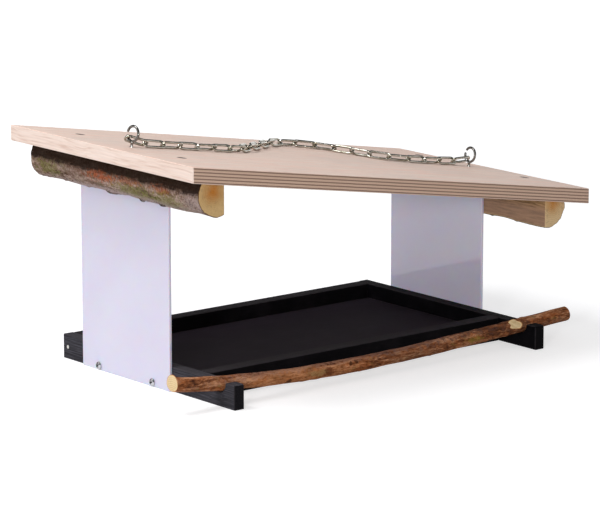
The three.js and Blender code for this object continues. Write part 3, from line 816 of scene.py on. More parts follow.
# %% A helper that adds shader nodes
def colour(red, green, blue):
    """Screen values from 0 to 255 as linear light: the standard curve, a power of 2.4 above its foot."""
    share = np.array([red, green, blue]) / 255
    linear = np.where(share <= 0.04045, share / 12.92, ((share + 0.055) / 1.055) ** 2.4)
    return (*linear.tolist(), 1.0)


class Nodes:
    """Adds nodes to one tree, each with its settings and its inputs, which are numbers or sockets."""

    def __init__(self, tree):
        self.tree = tree

    def add(self, kind, inputs=None, **settings):
        made = self.tree.nodes.new(kind if kind.startswith("NodeGroup") else "ShaderNode" + kind)
        for name, value in settings.items():
            setattr(made, name, value)
        for name, value in (inputs or {}).items():
            self.feed(made.inputs[name], value)
        return made

    def feed(self, socket, value):
        if isinstance(value, bpy.types.NodeSocket):
            self.tree.links.new(value, socket)
        else:
            socket.default_value = value

    def place(self, at=(0, 0, 0), turn=(0, 0, 0)):
        """The point being shaded, in millimetres, in a frame that lies at 'at' and is turned."""
        coords = self.add("TexCoord").outputs["Object"]
        mapping = self.add("Mapping", {"Vector": coords}, vector_type="TEXTURE")
        mapping.inputs["Location"].default_value = tuple(value * MM for value in at)
        mapping.inputs["Rotation"].default_value = turn
        mapping.inputs["Scale"].default_value = (MM, MM, MM)
        return mapping.outputs["Vector"]

    def math(self, operation, a, b=0.0, c=0.0, clamp=False):
        return self.add("Math", {0: a, 1: b, 2: c}, operation=operation, use_clamp=clamp).outputs[0]

    def plus(self, a, b):
        return self.math("ADD", a, b)

    def minus(self, a, b):
        return self.math("SUBTRACT", a, b)

    def times(self, a, b):
        return self.math("MULTIPLY", a, b)

    def rest(self, share, clamp=False):
        """What is left of one."""
        return self.math("SUBTRACT", 1.0, share, clamp=clamp)

    def parts(self, vector):
        return self.add("SeparateXYZ", {0: vector}).outputs

    def join(self, x, y, z):
        return self.add("CombineXYZ", {0: x, 1: y, 2: z}).outputs[0]

    def vector(self, operation, a, b=None):
        inputs = {0: a} if b is None else {0: a, 1: b}
        return self.add("VectorMath", inputs, operation=operation).outputs[0]

    def length(self, vector):
        return self.add("VectorMath", {0: vector}, operation="LENGTH").outputs["Value"]

    def stretch(self, vector, scale):
        return self.vector("MULTIPLY", vector, scale)

    def shrink(self, vector, size):
        """A vector divided by one number."""
        inputs = {0: vector, 3: self.math("DIVIDE", 1.0, size)}
        return self.add("VectorMath", inputs, operation="SCALE").outputs[0]

    def noise(self, vector, size, detail=3.0, roughness=0.55):
        inputs = {"Vector": vector, "Scale": 1 / size, "Detail": detail, "Roughness": roughness}
        return self.add("TexNoise", inputs).outputs["Fac"]

    def step(self, value, low, high):
        """0 below low, 1 above high and a smooth rise between them."""
        inputs = {"Value": value, "From Min": low, "From Max": high}
        return self.add("MapRange", inputs, interpolation_type="SMOOTHSTEP").outputs["Result"]

    def mix(self, factor, a, b):
        return self.add("Mix", {0: factor, 6: a, 7: b}, data_type="RGBA").outputs[2]

    def ramp(self, value, *stops, steps="LINEAR"):
        made = self.add("ValToRGB", {"Fac": value})
        band = made.color_ramp
        band.interpolation = steps
        for number, (place, tone) in enumerate(stops):
            stop = band.elements[number] if number < 2 else band.elements.new(place)
            stop.position, stop.color = place, tone
        return made.outputs["Color"]

    def bump(self, height, strength, distance):
        inputs = {"Height": height, "Strength": strength, "Distance": distance * MM}
        return self.add("Bump", inputs).outputs["Normal"]

    def group(self, tree, **inputs):
        """A node group's outputs. An underscore in an input's name stands for a space."""
        made = self.add("Group", node_tree=tree)
        for name, value in inputs.items():
            self.feed(made.inputs[name.replace("_", " ")], value)
        return made.outputs


print("what the helper can do:", [name for name in vars(Nodes) if not name.startswith("_")])

# %% [markdown]
# A finish is a material with one main shader. A node group is a small tree with named sockets, which
# several materials can place with values of their own, like a function in code. Both are started by a
# function, so that each finish below begins with its own first line and not with the same six.

# %% Materials and node groups
def material(name):
    """A new material, its nodes and its main shader, with nothing linked yet."""
    made = bpy.data.materials.new(name)
    made.use_nodes = True
    shader = made.node_tree.nodes["Principled BSDF"]
    return made, Nodes(made.node_tree), shader


def give(name, finish):
    """Puts a finish on a packed solid that stays in sight."""
    slots = nodes[name].data.materials
    slots.clear()
    slots.append(finish)


def effect(name, inputs, outputs):
    """A node group with named sockets: its tree, its nodes, what comes in, and its way out."""
    tree = bpy.data.node_groups.new(name, "ShaderNodeTree")
    kinds = {"value": "NodeSocketFloat", "vector": "NodeSocketVector"}
    for label, (kind, default) in inputs.items():
        socket = tree.interface.new_socket(name=label, in_out="INPUT", socket_type=kinds[kind])
        socket.default_value = default
    for label, kind in outputs.items():
        tree.interface.new_socket(name=label, in_out="OUTPUT", socket_type=kinds[kind])
    made = Nodes(tree)
    return tree, made, made.add("NodeGroupInput").outputs, made.add("NodeGroupOutput").inputs


print("middle grey in linear light:", round(colour(128, 128, 128)[0], 3))

# %% [markdown]
# Some effects come back in several finishes, so each is a node group that is built once and placed with
# values of its own. Grain gives streaks that run along one direction and sway a little, as wood fibres
# do. Patches give islands of another tone, such as lichen or dust. Both could come from pictures, but
# noise that is stretched, or cut off at a level, gives them at any size and has no seams.

# %% Node groups for grain and patches
origin = (0.0, 0.0, 0.0)
grain, g, come, go = effect(
    "grain",
    {"Vector": ("vector", origin), "Length": ("value", 60.0), "Width": ("value", 1.2)},
    {"Streaks": "value", "Pores": "value"},
)
x, y, z = g.parts(come["Vector"])
sway = g.times(g.times(g.noise(come["Vector"], 45.0, 1.0), come["Width"]), 3.0)
long = g.math("DIVIDE", x, come["Length"])
wide = g.math("DIVIDE", g.plus(y, sway), come["Width"])
deep = g.math("DIVIDE", g.plus(z, sway), come["Width"])
lines = g.join(long, wide, deep)
g.feed(go["Streaks"], g.noise(lines, 1.0, 4.0, 0.6))
short = g.stretch(lines, (4.0, 1.6, 1.6))
g.feed(go["Pores"], g.step(g.noise(short, 1.0, 1.0), 0.63, 0.7))

patches, g, come, go = effect(
    "patches",
    {
        "Vector": ("vector", origin),
        "Size": ("value", 10.0),
        "Amount": ("value", 0.5),
        "Softness": ("value", 0.05),
    },
    {"Mask": "value"},
)
cloud = g.noise(g.shrink(come["Vector"], come["Size"]), 1.0, 5.0, 0.6)
middle = g.minus(0.72, g.times(come["Amount"], 0.44))
low, high = g.minus(middle, come["Softness"]), g.plus(middle, come["Softness"])
g.feed(go["Mask"], g.step(cloud, low, high))
print("node groups:", [group.name for group in bpy.data.node_groups])

# %% [markdown]
# Two more groups serve the logs and the branch. Stem wood gives growth rings round the middle of a stem,
# as a wave of the distance from it, and rays as noise on the direction alone. A spot is one island of a
# tone in a chosen place, an ellipsoid whose border is torn by noise, for stains that the real one has.

# %% Node groups for stem wood and spots
stem_wood, g, come, go = effect(
    "stem wood",
    {"Vector": ("vector", origin), "Ring Width": ("value", 1.6)},
    {"Rings": "value", "Rays": "value", "Distance": "value"},
)
slow = g.stretch(come["Vector"], (0.09, 0.09, 0.02))
warp = g.add("TexNoise", {"Vector": slow, "Scale": 1.0}).outputs["Color"]
flat = g.stretch(g.vector("ADD", come["Vector"], warp), (1.0, 1.0, 0.0))
radius = g.length(flat)
wave = g.math("SINE", g.times(g.math("DIVIDE", radius, come["Ring Width"]), float(TURN)))
g.feed(go["Rings"], g.math("POWER", g.math("MULTIPLY_ADD", wave, 0.5, 0.5), 1.6))
unit = g.vector("NORMALIZE", flat)
g.feed(go["Rays"], g.noise(g.stretch(unit, (14.0, 14.0, 1.0)), 1.0, 3.0))
g.feed(go["Distance"], radius)

spot, g, come, go = effect(
    "spot",
    {
        "Vector": ("vector", origin),
        "Centre": ("vector", origin),
        "Reach": ("vector", (10.0, 10.0, 10.0)),
        "Ragged": ("value", 0.8),
    },
    {"Mask": "value"},
)
away = g.vector("SUBTRACT", come["Vector"], come["Centre"])
away = g.length(g.vector("DIVIDE", away, come["Reach"]))
torn = g.times(g.minus(g.noise(come["Vector"], 4.0, 5.0, 0.65), 0.5), come["Ragged"])
away = g.math("MULTIPLY_ADD", torn, 4.0, away)
g.feed(go["Mask"], g.rest(g.step(away, 0.55, 1.15)))
print("node groups:", [group.name for group in bpy.data.node_groups])

# %% [markdown]
# The last group finds the edges of a box-shaped piece, which a finish can make paler: worn edges, the
# opal's sawn edges, and on the tray a painted highlight as well. Blender can find edges by the pointiness
# of a mesh, but that is worked out at its points, and a plain board has points only at its corners. Here
# the distances to the three nearest faces are known from the piece's half size. A point near an edge is
# close to two faces at once, so the second smallest distance is small there.

# %% Node group for pale edges
pale_edges, g, come, go = effect(
    "pale edges",
    {
        "Vector": ("vector", origin),
        "Half Size": ("vector", (10.0, 10.0, 10.0)),
        "Width": ("value", 1.0),
        "Patch Size": ("value", 6.0),
    },
    {"Mask": "value"},
)
x, y, z = g.parts(g.vector("SUBTRACT", come["Half Size"], g.vector("ABSOLUTE", come["Vector"])))
least, most = g.math("MINIMUM", x, y), g.math("MAXIMUM", x, y)
second = g.math("MAXIMUM", least, g.math("MINIMUM", most, z))
broken = g.noise(g.shrink(come["Vector"], come["Patch Size"]), 1.0, 4.0, 0.7)
reach = g.times(g.times(broken, 2.0), come["Width"])
g.feed(go["Mask"], g.rest(g.math("DIVIDE", second, reach), clamp=True))
print("node groups:", [group.name for group in bpy.data.node_groups])

# %% [markdown]
# The roof is birch plywood. On its faces the veneer shows fine streaks along the slope. On its edges the
# layers show, light where they run along the edge and dark where they end in it. A picture would do
# this, but the layers are real sheets in the board, so here their tone comes from the height in the
# board's own frame, and they turn up on every edge and in every hole.

# %% Veneer and layers
first_ply, dark_ply, ply_pair, dark_plies = 0.8, 1.15, 3.05, 5
veneer_tones = colour(209, 180, 165), colour(228, 205, 192), colour(236, 216, 204)
light_layer, dark_layer = colour(207, 174, 151), colour(120, 91, 74)


def veneer_tone(n, here, streaks):
    """Fine streaks, broad bands, dark pores and greyer clouds, one over the other."""
    broad = n.group(grain, Vector=here, Length=160.0, Width=9.0)
    tone = n.ramp(streaks["Streaks"], *zip((0.3, 0.5, 0.7), veneer_tones))
    tone = n.mix(n.step(broad["Streaks"], 0.42, 0.66), tone, colour(231, 199, 184))
    tone = n.mix(n.times(streaks["Pores"], 0.35), tone, colour(178, 143, 124))
    grey = n.group(patches, Vector=here, Size=90.0, Amount=0.3, Softness=0.12)["Mask"]
    return n.mix(n.times(grey, 0.35), tone, colour(205, 190, 182))


def layer_tone(n, here, z, fibres):
    """Light and dark sheets by the height in the board, which sways a little, with paler fibres."""
    layers = [(0.0, light_layer)]
    for start in (first_ply + ply_pair * np.arange(dark_plies)).tolist():
        layers.append((start / roof_thickness, dark_layer))
        layers.append(((start + dark_ply) / roof_thickness, light_layer))
    sway = n.times(n.minus(n.noise(here, 26.0), 0.5), 0.35)
    tone = n.ramp(n.math("DIVIDE", n.plus(z, sway), roof_thickness), *layers, steps="CONSTANT")
    return n.mix(n.times(n.step(fibres, 0.35, 0.75), 0.35), tone, colour(214, 184, 166))


print("dark layers in the roof's edge:", dark_plies)

# %% [markdown]
# The roof's two ends are cut plumb, so they lean in the board's own frame. There a pale, nearly plain tone
# is painted over the layers: partly the saw's woolly face, partly painted light that washes them out.
# Round each screw sunk into the roof, a dark ring is painted: partly bruised wood, partly painted shade
# of the countersink. Both could be painted on by hand, but a distance that a smooth step turns into a mask
# moves with the sizes of the roof.

# %% Plywood
end_tones = colour(208, 180, 166), colour(224, 203, 191), colour(231, 213, 203)
rim_from, rim_to = 4.3, 5.3


def end_mask(n, x, z):
    """One within half a millimetre of either end: x plus the height times the tangent of the tilt."""
    plumb = n.math("MULTIPLY_ADD", n.minus(z, roof_thickness / 2), float(np.tan(roof_tilt)), x)
    masks = []
    for overhang, outward in (high_overhang, n.minus(0.0, plumb)), (low_overhang, plumb):
        end = float(log_face / np.cos(roof_tilt)) + overhang
        masks.append(n.step(outward, end - 0.7, end - 0.4))
    return n.math("MAXIMUM", *masks)


def darken_screw_rims(n, here, wood):
    """Darkens the wood where the distance from a roof screw, in the roof's plane, is small: bruised wood
    and painted shade of the countersink.
    """
    for side_name in sides:
        for end in ends.values():
            hole = (*roof_screw_place(side_name, end), 0.0)
            away = n.length(n.stretch(n.vector("SUBTRACT", here, hole), (1.0, 1.0, 0.0)))
            rim_mask = n.rest(n.step(away, rim_from, rim_to))
            # A dark ring round each sunk head: bruised wood and painted shade of the countersink.
            wood = n.mix(n.times(rim_mask, 0.85), wood, colour(66, 55, 52))
    return wood


def plywood_finish():
    """Veneer on both faces, layers on the edges and pale end grain on the ends, partly painted light, all
    with a fine relief.
    """
    made, n, shader = material("birch plywood")
    here = n.place((0, 0, roof_middle), (0, roof_tilt, 0))
    x, y, z = n.parts(here)
    streaks = n.group(grain, Vector=here, Length=70.0, Width=1.5)
    fibres = n.noise(n.stretch(here, (0.9, 0.9, 6.0)), 1.0, 4.0, 0.7)
    end_grain = n.group(grain, Vector=n.join(y, z, x), Length=55.0, Width=2.4)
    end_tone = n.ramp(end_grain["Streaks"], *zip((0.34, 0.47, 0.64), end_tones))
    # The ends get a pale, plain tone over the layers: sawn end grain, and painted light that washes the
    # layers out.
    edge = n.mix(n.times(end_mask(n, x, z), 0.92), layer_tone(n, here, z, fibres), end_tone)
    near_top = n.step(z, roof_thickness - 0.65, roof_thickness - 0.45)
    on_face = n.math("MAXIMUM", near_top, n.step(n.minus(0.0, z), -0.6, -0.4))
    wood = n.mix(on_face, edge, veneer_tone(n, here, streaks))
    n.feed(shader.inputs["Base Color"], darken_screw_rims(n, here, wood))
    n.feed(shader.inputs["Roughness"], n.math("MULTIPLY_ADD", streaks["Streaks"], 0.2, 0.5))
    relief = n.plus(n.times(streaks["Streaks"], 0.5), n.times(fibres, 0.5))
    n.feed(shader.inputs["Normal"], n.bump(relief, 0.35, 0.25))
    return made


give("roof_panel", plywood_finish())
print("finish of the roof:", nodes["roof_panel"].data.materials[0].name)

# %% [markdown]
# Bark is next. It could be one noise between two browns, but real bark has cloudy tones with fine specks
# and cracks, islands of lichen, and stains in certain places, so each is a layer of its own. The logs
# wear rough bark, and the branch a smooth one whose marks are drawn out along it, so the two share the
# layers and differ in a few values.
# The rough bark of the logs also gets a painted shade of the roof on its upper part.

# %% Bark
# shaded turns on a painted shade of the roof on the upper bark of the logs.
rough_bark = dict(
    drawn=0.4, cloud_size=7.0, tick_shape=(0.4, 0.4, 1.4), patch_shape=(1.0, 1.0, 1.0),
    of_cloud=0.45, of_speckle=0.3, crack=0.5, relief=0.9, shaded=True,
)
smooth_bark = dict(
    drawn=0.14, cloud_size=4.5, tick_shape=(1.2, 1.2, 0.3), patch_shape=(1.0, 1.0, 0.45),
    of_cloud=0.6, of_speckle=0.15, crack=0.3, relief=0.5, shaded=False,
)


def bark_noises(n, here, style):
    """Clouds, specks and ticks: noises of three sizes, drawn out along the stem."""
    cloud = n.noise(n.stretch(here, (1.0, 1.0, style["drawn"])), style["cloud_size"], 6.0, 0.7)
    speckle = n.noise(n.stretch(here, (1.0, 1.0, min(1.0, 2 * style["drawn"]))), 1.5, 4.0, 0.8)
    ticks = n.noise(n.stretch(here, style["tick_shape"]), 1.3, 3.0, 0.7)
    return cloud, speckle, ticks


def bark_ground(n, noises, style, tones):
    """Three browns, chosen by the sum of the three noises."""
    cloud, speckle, ticks = noises
    blend = n.plus(n.times(cloud, style["of_cloud"]), n.times(speckle, style["of_speckle"]))
    blend = n.math("MULTIPLY_ADD", ticks, 0.25, blend)
    return n.ramp(blend, (0.4, tones[0]), (0.49, tones[1]), (0.58, tones[2]))


def lichen_and_stains(n, here, tone, raised, style, patch_tones, spots):
    """Patches anywhere and spots in their places, which both keep to the raised bark."""
    for number, (patch, patch_size, amount, strength) in enumerate(patch_tones):
        moved = n.stretch(n.vector("ADD", here, (37.0 * number, 11.0, 5.0)), style["patch_shape"])
        mask = n.group(patches, Vector=moved, Size=patch_size, Amount=amount, Softness=0.09)["Mask"]
        tone = n.mix(n.times(n.times(mask, raised), strength), tone, patch)
    for place, reach, stain, strength in spots:
        mask = n.group(spot, Vector=here, Centre=place, Reach=reach, Ragged=0.8)["Mask"]
        mask = n.times(mask, n.math("MULTIPLY_ADD", raised, 0.7, 0.3))
        tone = n.mix(n.times(mask, strength), tone, stain)
    return tone


def shaded(n, tone, cloud, down):
    """Painted shade of the roof: nearly black where the height over the stem's middle, made uneven by the
    clouds, is large.
    """
    height = n.minus(n.times(cloud, 22.0), n.plus(down, 11.0))
    return n.mix(n.times(n.step(height, -3.5, 2.5), 0.95), tone, colour(27, 10, 0))


print("bark styles differ in:", [key for key in rough_bark if rough_bark[key] != smooth_bark[key]])

# %% [markdown]
# Bark and sawn wood share one material, because both belong to the same stem. The depth under the bark,
# kept as a mark on the mesh, says which one a point shows: the weathered bark outside, its dark cut edge
# on the end of the log, then the pale wood with its rings. Two materials with a border between their
# faces would show steps there, because the border would have to follow the mesh.

# %% Sawn wood and the finish of a stem
def growth_tone(n, here, pith, wood, cracks, crack_tone):
    """Rings and rays, paler sapwood far from the pith, a stain round it, and fine cracks."""
    growth = n.group(stem_wood, Vector=n.place(*pith), Ring_Width=1.9)
    tone = n.mix(growth["Rings"], wood["early"], wood["late"])
    tone = n.mix(n.times(growth["Rays"], 0.3), tone, wood["early"])
    heart = n.math("MULTIPLY_ADD", n.noise(here, 6.0, 3.0), 9.0, growth["Distance"])
    tone = n.mix(n.times(n.step(heart, 12.0, 24.0), 0.5), tone, wood["sap"])
    tone = n.mix(n.times(n.rest(n.step(heart, 3.0, 18.0)), 0.88), tone, wood["heart"])
    return n.mix(n.times(cracks, 0.25), tone, crack_tone)


def side_tone(n, across, down, along, tones):
    """The sawn side is darker than the ends, with grain along the log and paler, greyer tones low down:
    weathering, and painted shade of the roof.
    """
    sawn = n.group(grain, Vector=n.join(along, across, down), Length=26.0, Width=1.7)
    streaks = n.ramp(sawn["Streaks"], *zip((0.36, 0.5, 0.66), tones))
    return n.mix(n.times(n.step(down, -5.0, 7.0), 0.6), streaks, tones[3])


def stem_finish(name, stem, pith, half, style, bark, patch_tones, wood, spots=(), side_tones=None):
    """Bark where the mark is zero, a rim where it is small, and wood farther in. stem and pith are frames
    along the stem, whose ends lie half a length from its middle. side_tones colour a sawn side."""
    made, n, shader = material(name)
    here = n.place(*stem)
    across, down, along = n.parts(here)
    under = n.add("Attribute", attribute_name="under_bark").outputs["Fac"]
    noises = bark_noises(n, here, style)
    cloud, speckle, ticks = noises
    cracks = n.rest(n.step(ticks, 0.36, 0.44))
    tone = bark_ground(n, noises, style, bark)
    tone = lichen_and_stains(n, here, tone, n.step(speckle, 0.34, 0.56), style, patch_tones, spots)
    tone = n.mix(n.times(cracks, style["crack"]), tone, bark[0])
    # Painted shade of the roof over the upper bark.
    if style["shaded"]:
        tone = shaded(n, tone, cloud, down)
    cut = growth_tone(n, here, pith, wood, cracks, bark[1])
    if side_tones is not None:
        at_end = n.step(n.math("ABSOLUTE", along), half - 1.3, half - 0.5)
        cut = n.mix(at_end, side_tone(n, across, down, along, side_tones), cut)
    rim = n.mix(n.step(under, 0.5, 0.9), wood["rim"], wood["late"])
    cut = n.mix(n.step(under, 0.9, 1.5), rim, cut)
    n.feed(shader.inputs["Base Color"], n.mix(n.step(under, 0.1, 0.3), tone, cut))
    shader.inputs["Roughness"].default_value = 0.85
    shader.inputs["Specular IOR Level"].default_value = 0.1
    relief = n.plus(n.times(speckle, 0.6), n.times(ticks, 0.7))
    n.feed(shader.inputs["Normal"], n.bump(relief, 0.7, style["relief"]))
    return made


print("the finish of a stem reads the mark under_bark")

# %% [markdown]
# The left log shows its bark: green lichen at both ends, rust-coloured streaks in the middle, an ashen
# lower edge and dark stubs of twigs. Each is a spot in its place. Of the right log, mostly the sawn side
# and the front end are seen, and both logs show a brown stain round their pith.

# %% Bark and wood of the logs
lichen, rust = colour(124, 124, 64), colour(176, 88, 50)
ashen, umber = colour(190, 172, 170), colour(104, 70, 54)
twig_tone = colour(44, 30, 20)
# The place along y, the height over the stem's middle, how far each reaches along and up, its tone and
# its strength.
seen_on_left_log = [
    (-30, -20, 150, 6, ashen, 0.7),
    (84, -7, 26, 9, lichen, 0.62),
    (38, -6, 26, 9, umber, 0.5),
    (-3, -3, 28, 8, rust, 0.8),
    (-46, -11, 34, 9, lichen, 0.65),
    (-44, -2, 26, 5, rust, 0.55),
    (-95, -3, 18, 6, rust, 0.65),
    (-100, -12, 34, 9, lichen, 0.62),
    (-143, -9, 20, 13, ashen, 0.5),
    (1, -22, 7, 4, twig_tone, 0.8),
    (-48, -22, 4, 4, twig_tone, 0.9),
    (-78, -22, 5, 4, twig_tone, 0.9),
]
seen_on_logs = {"left": seen_on_left_log, "right": []}
bark_of_logs = colour(46, 31, 20), colour(128, 101, 86), colour(192, 169, 157)
log_patches = {
    "left": [(colour(112, 112, 74), 13.0, 0.3, 0.5), (colour(150, 128, 118), 11.0, 0.3, 0.6)],
    "right": [(colour(96, 94, 62), 14.0, 0.4, 0.6), (colour(134, 118, 110), 12.0, 0.4, 0.6)],
}
bark_rim = colour(84, 58, 38)
wood_of_log = {
    "left": dict(
        early=colour(192, 154, 100), late=colour(204, 168, 116), heart=colour(186, 112, 34),
        sap=colour(222, 192, 140), rim=bark_rim,
    ),
    "right": dict(
        early=colour(208, 174, 128), late=colour(226, 194, 146), heart=colour(200, 132, 56),
        sap=colour(234, 206, 162), rim=bark_rim,
    ),
}
# Tones of a log's sawn side, darker than its ends: weathering, and painted shade of the roof.
side_of_log = colour(112, 90, 56), colour(168, 132, 92), colour(194, 156, 114), colour(182, 148, 130)
pith_of_log = {"left": (-4.6, 1.2), "right": (6.5, 3.0)}
spot_depth = 40.0
along_y = (-np.pi / 2, 0.0, 0.0)
for name, log in logs.items():
    x, z = log_middle(log)
    y, half = log_ends(log)
    out, up = pith_of_log[name]
    bark_spots = [
        ((0.0, -high, float(place - y)), (spot_depth, reach_up, reach_along), tone, strength)
        for place, high, reach_along, reach_up, tone, strength in seen_on_logs[name]
    ]
    finish = stem_finish(
        "bark and wood of the " + name + " log", ((x, y, z), along_y), ((x + out, y, z + up), along_y),
        half, rough_bark, bark_of_logs, log_patches[name], wood_of_log[name], bark_spots, side_of_log,
    )
    log_pieces[name].data.materials.append(finish)
    print("finish:", finish.name, "with", len(bark_spots), "spots")

# %% [markdown]
# The perch is a young branch with thin, smooth bark: tan on the left, darker in the middle, with a pale
# grey highlight painted along its top, knots and a dab of lichen. Its spots are given in its own frame,
# where x is down from 15 mm over the floor, y is back and z is right.

# %% Bark and wood of the perch
along_x = (0.0, np.pi / 2, 0.0)
perch_place = ((-perch_shift, perch_line, 15.0), along_x)
perch_tones = (colour(62, 32, 18), colour(142, 87, 54), colour(208, 154, 116))
perch_patches = [
    (colour(180, 100, 50), 8.0, 0.4, 0.5),
    (colour(142, 126, 66), 6.0, 0.14, 0.5),
    (colour(56, 30, 20), 5.0, 0.2, 0.6),
]
knot, top_highlight_tone, tan = colour(36, 20, 12), colour(152, 122, 112), colour(200, 132, 82)
perch_spots = [
    ((0.0, -4.0, -110.0), (14.0, 14.0, 75.0), tan, 0.5),
    ((0.0, 0.0, 45.0), (14.0, 14.0, 55.0), colour(84, 50, 34), 0.5),
    # A pale grey streak along the top: a painted highlight.
    ((-9.0, 0.0, -40.0), (6.0, 9.0, 240.0), top_highlight_tone, 0.45),
    ((-6.0, 0.0, 175.0), (7.0, 12.0, 95.0), colour(70, 42, 32), 0.65),
    ((3.0, -5.0, 215.0), (5.0, 9.0, 35.0), colour(176, 88, 34), 0.7),
    ((-3.5, -5.0, 119.0), (3.5, 6.0, 14.0), colour(152, 130, 54), 0.6),
    ((0.0, -7.0, -80.0), (3.0, 6.0, 14.0), colour(152, 138, 92), 0.45),
    ((3.0, -6.0, -115.0), (2.6, 5.0, 5.0), knot, 0.85),
    ((0.4, -7.0, -66.0), (4.5, 5.0, 4.5), colour(92, 42, 20), 0.8),
    ((-3.0, -6.0, -39.0), (2.2, 5.0, 2.6), knot, 0.9),
    ((-3.4, -6.0, -32.0), (2.0, 5.0, 2.4), knot, 0.9),
]
perch_wood = dict(
    early=colour(214, 186, 138), late=colour(236, 214, 170), heart=colour(226, 194, 142),
    sap=colour(232, 208, 164), rim=colour(214, 160, 104),
)
perch_finish = stem_finish(
    "bark and wood of the perch", perch_place, perch_place, perch_length / 2,
    smooth_bark, perch_tones, perch_patches, perch_wood, perch_spots,
)
perch.data.materials.append(perch_finish)
print("finish:", perch_finish.name, "with", len(perch_spots), "spots")

# %% [markdown]
# The tray is softwood stained black. Stain sinks in unevenly, so the grain still shows as slightly lighter
# streaks. The edges are painted paler, as wear and a painted highlight, and the tops lighter, as dust and
# a painted sheen. The left rail is painted lighter than the right one, as painted light and shade. One
# plain black would look like plastic. The grain follows each piece: along the rails to the back, and along
# the battens and the floor from side to side.

# %% Black stained timber
wear_and_highlight_tone, dust_and_sheen_tone, end_stain = colour(70, 66, 70), colour(98, 92, 98), colour(12, 10, 12)
dust_tone = colour(90, 80, 88)
shade_shares = np.array([0.62, 1.0, 1.5])
to_the_back, to_the_side = np.pi / 2, 0.0
edge_from, edge_to = 0.9, 0.4


def centre_and_half(name):
    """The middle of a packed solid's box and half its size, in millimetres."""
    low, high = (np.array(corner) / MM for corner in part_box(name))
    return tuple((low + high) / 2), (high - low) / 2


def near_face(n, place, half):
    """Zero inside a piece and one close to its face, by the place from its middle and half its size."""
    return n.step(place, float(half) - edge_from, float(half) - edge_to)


def black_timber(name, turn, tone, dust_and_sheen=0.1):
    """Dark stain that is lighter along the grain, lighter on top from dust and a painted sheen, dark on
    the end grain and pale at the edges from wear and a painted highlight, with a relief of the grain."""
    middle, half = centre_and_half(name)
    made, n, shader = material("black stained " + name)
    here = n.place(middle)
    x, y, z = n.parts(here)
    streaks = n.group(grain, Vector=n.place(middle, (0.0, 0.0, turn)), Length=38.0, Width=1.1)
    shades = [colour(*shade) for shade in np.outer(shade_shares, tone)]
    stain = n.ramp(streaks["Streaks"], *zip((0.28, 0.5, 0.74), shades))
    dust = n.group(patches, Vector=here, Size=30.0, Amount=0.3, Softness=0.15)["Mask"]
    stain = n.mix(n.times(dust, 0.05), stain, dust_tone)
    # Tops painted lighter: dust, and a painted sheen.
    stain = n.mix(n.times(near_face(n, z, half[2]), dust_and_sheen), stain, dust_and_sheen_tone)
    along, reach = (y, half[1]) if turn else (x, half[0])
    end_grain = near_face(n, n.math("ABSOLUTE", along), reach)
    stain = n.mix(n.times(end_grain, 0.85), stain, end_stain)
    pale_edge_mask = n.group(pale_edges, Vector=here, Half_Size=tuple(half), Width=1.1, Patch_Size=7.0)["Mask"]
    # Edges painted paler: wear, and a painted highlight.
    n.feed(shader.inputs["Base Color"], n.mix(n.times(pale_edge_mask, 0.6), stain, wear_and_highlight_tone))
    n.feed(shader.inputs["Roughness"], n.math("MULTIPLY_ADD", streaks["Streaks"], 0.25, 0.6))
    shader.inputs["Specular IOR Level"].default_value = 0.04
    n.feed(shader.inputs["Normal"], n.bump(streaks["Streaks"], 0.5, 0.5))
    return made


# The direction of the grain, the tone and the share of dust and painted sheen on top, where it isn't a
# tenth.
timber = {
    # The left rail is given a lighter tone than the right rail, though both carry one stain: painted light
    # on the left and painted shade on the right.
    "tray_rail_left": (to_the_back, (56, 55, 60)),
    "tray_rail_right": (to_the_back, (8, 7, 10)),
    "tray_batten_front": (to_the_side, (11, 10, 12), 0.22),
    "tray_batten_back": (to_the_side, (11, 10, 12), 0.12),
    "tray_floor": (to_the_side, (30, 24, 33)),
}
for name, choices in timber.items():
    give(name, black_timber(name, *choices))
print("black stained pieces:", list(timber))

# %% [markdown]
# The sides are opal acrylic: white plastic with a lavender cast that lets a little light through. It is
# glossy, so it mirrors the black tray faintly at a low angle. A flat colour would look like paint. Here
# the tone drifts a little and the gloss is broken by faint rubbing. A thin sheet that is held at its
# corners is never quite flat. Only its reflections show that, so a slight bow is given by a bump.

# %% Opal plastic
sawn_edge_tone = colour(236, 234, 244)
opal_tones = {
    # Both panels are one sheet: the left is given a darker tone and the right a paler, bluer one, as
    # painted shade and painted light.
    "side_panel_left": ((209, 206, 226), (217, 214, 231)),
    "side_panel_right": ((217, 216, 238), (225, 224, 243)),
}


def opal_plastic(name, dim, bright):
    """A pale base that drifts between two tones, with gloss that varies and paler sawn edges."""
    middle, half = centre_and_half(name)
    made, n, shader = material("opal " + name)
    here = n.place(middle)
    base = n.mix(n.noise(here, 60.0, 2.0), colour(*dim), colour(*bright))
    pale_edge_mask = n.group(pale_edges, Vector=here, Half_Size=tuple(half), Width=0.8, Patch_Size=9.0)["Mask"]
    n.feed(shader.inputs["Base Color"], n.mix(n.times(pale_edge_mask, 0.5), base, sawn_edge_tone))
    scuffs = n.group(grain, Vector=n.place(middle, (0.0, np.pi / 2, 0.4)), Length=40.0, Width=0.8)
    n.feed(shader.inputs["Roughness"], n.math("MULTIPLY_ADD", scuffs["Streaks"], 0.08, 0.01))
    shader.inputs["IOR"].default_value = 1.49
    shader.inputs["Subsurface Weight"].default_value = 0.5
    shader.inputs["Subsurface Scale"].default_value = 0.004
    y = n.parts(here)[1]
    bow = n.times(n.times(y, y), -0.5 / float(half[1]) ** 2)
    n.feed(shader.inputs["Normal"], n.bump(bow, 1.0, 1.0))
    return made


for name, tones in opal_tones.items():
    give(name, opal_plastic(name, *tones))
print("opal pieces:", list(opal_tones))

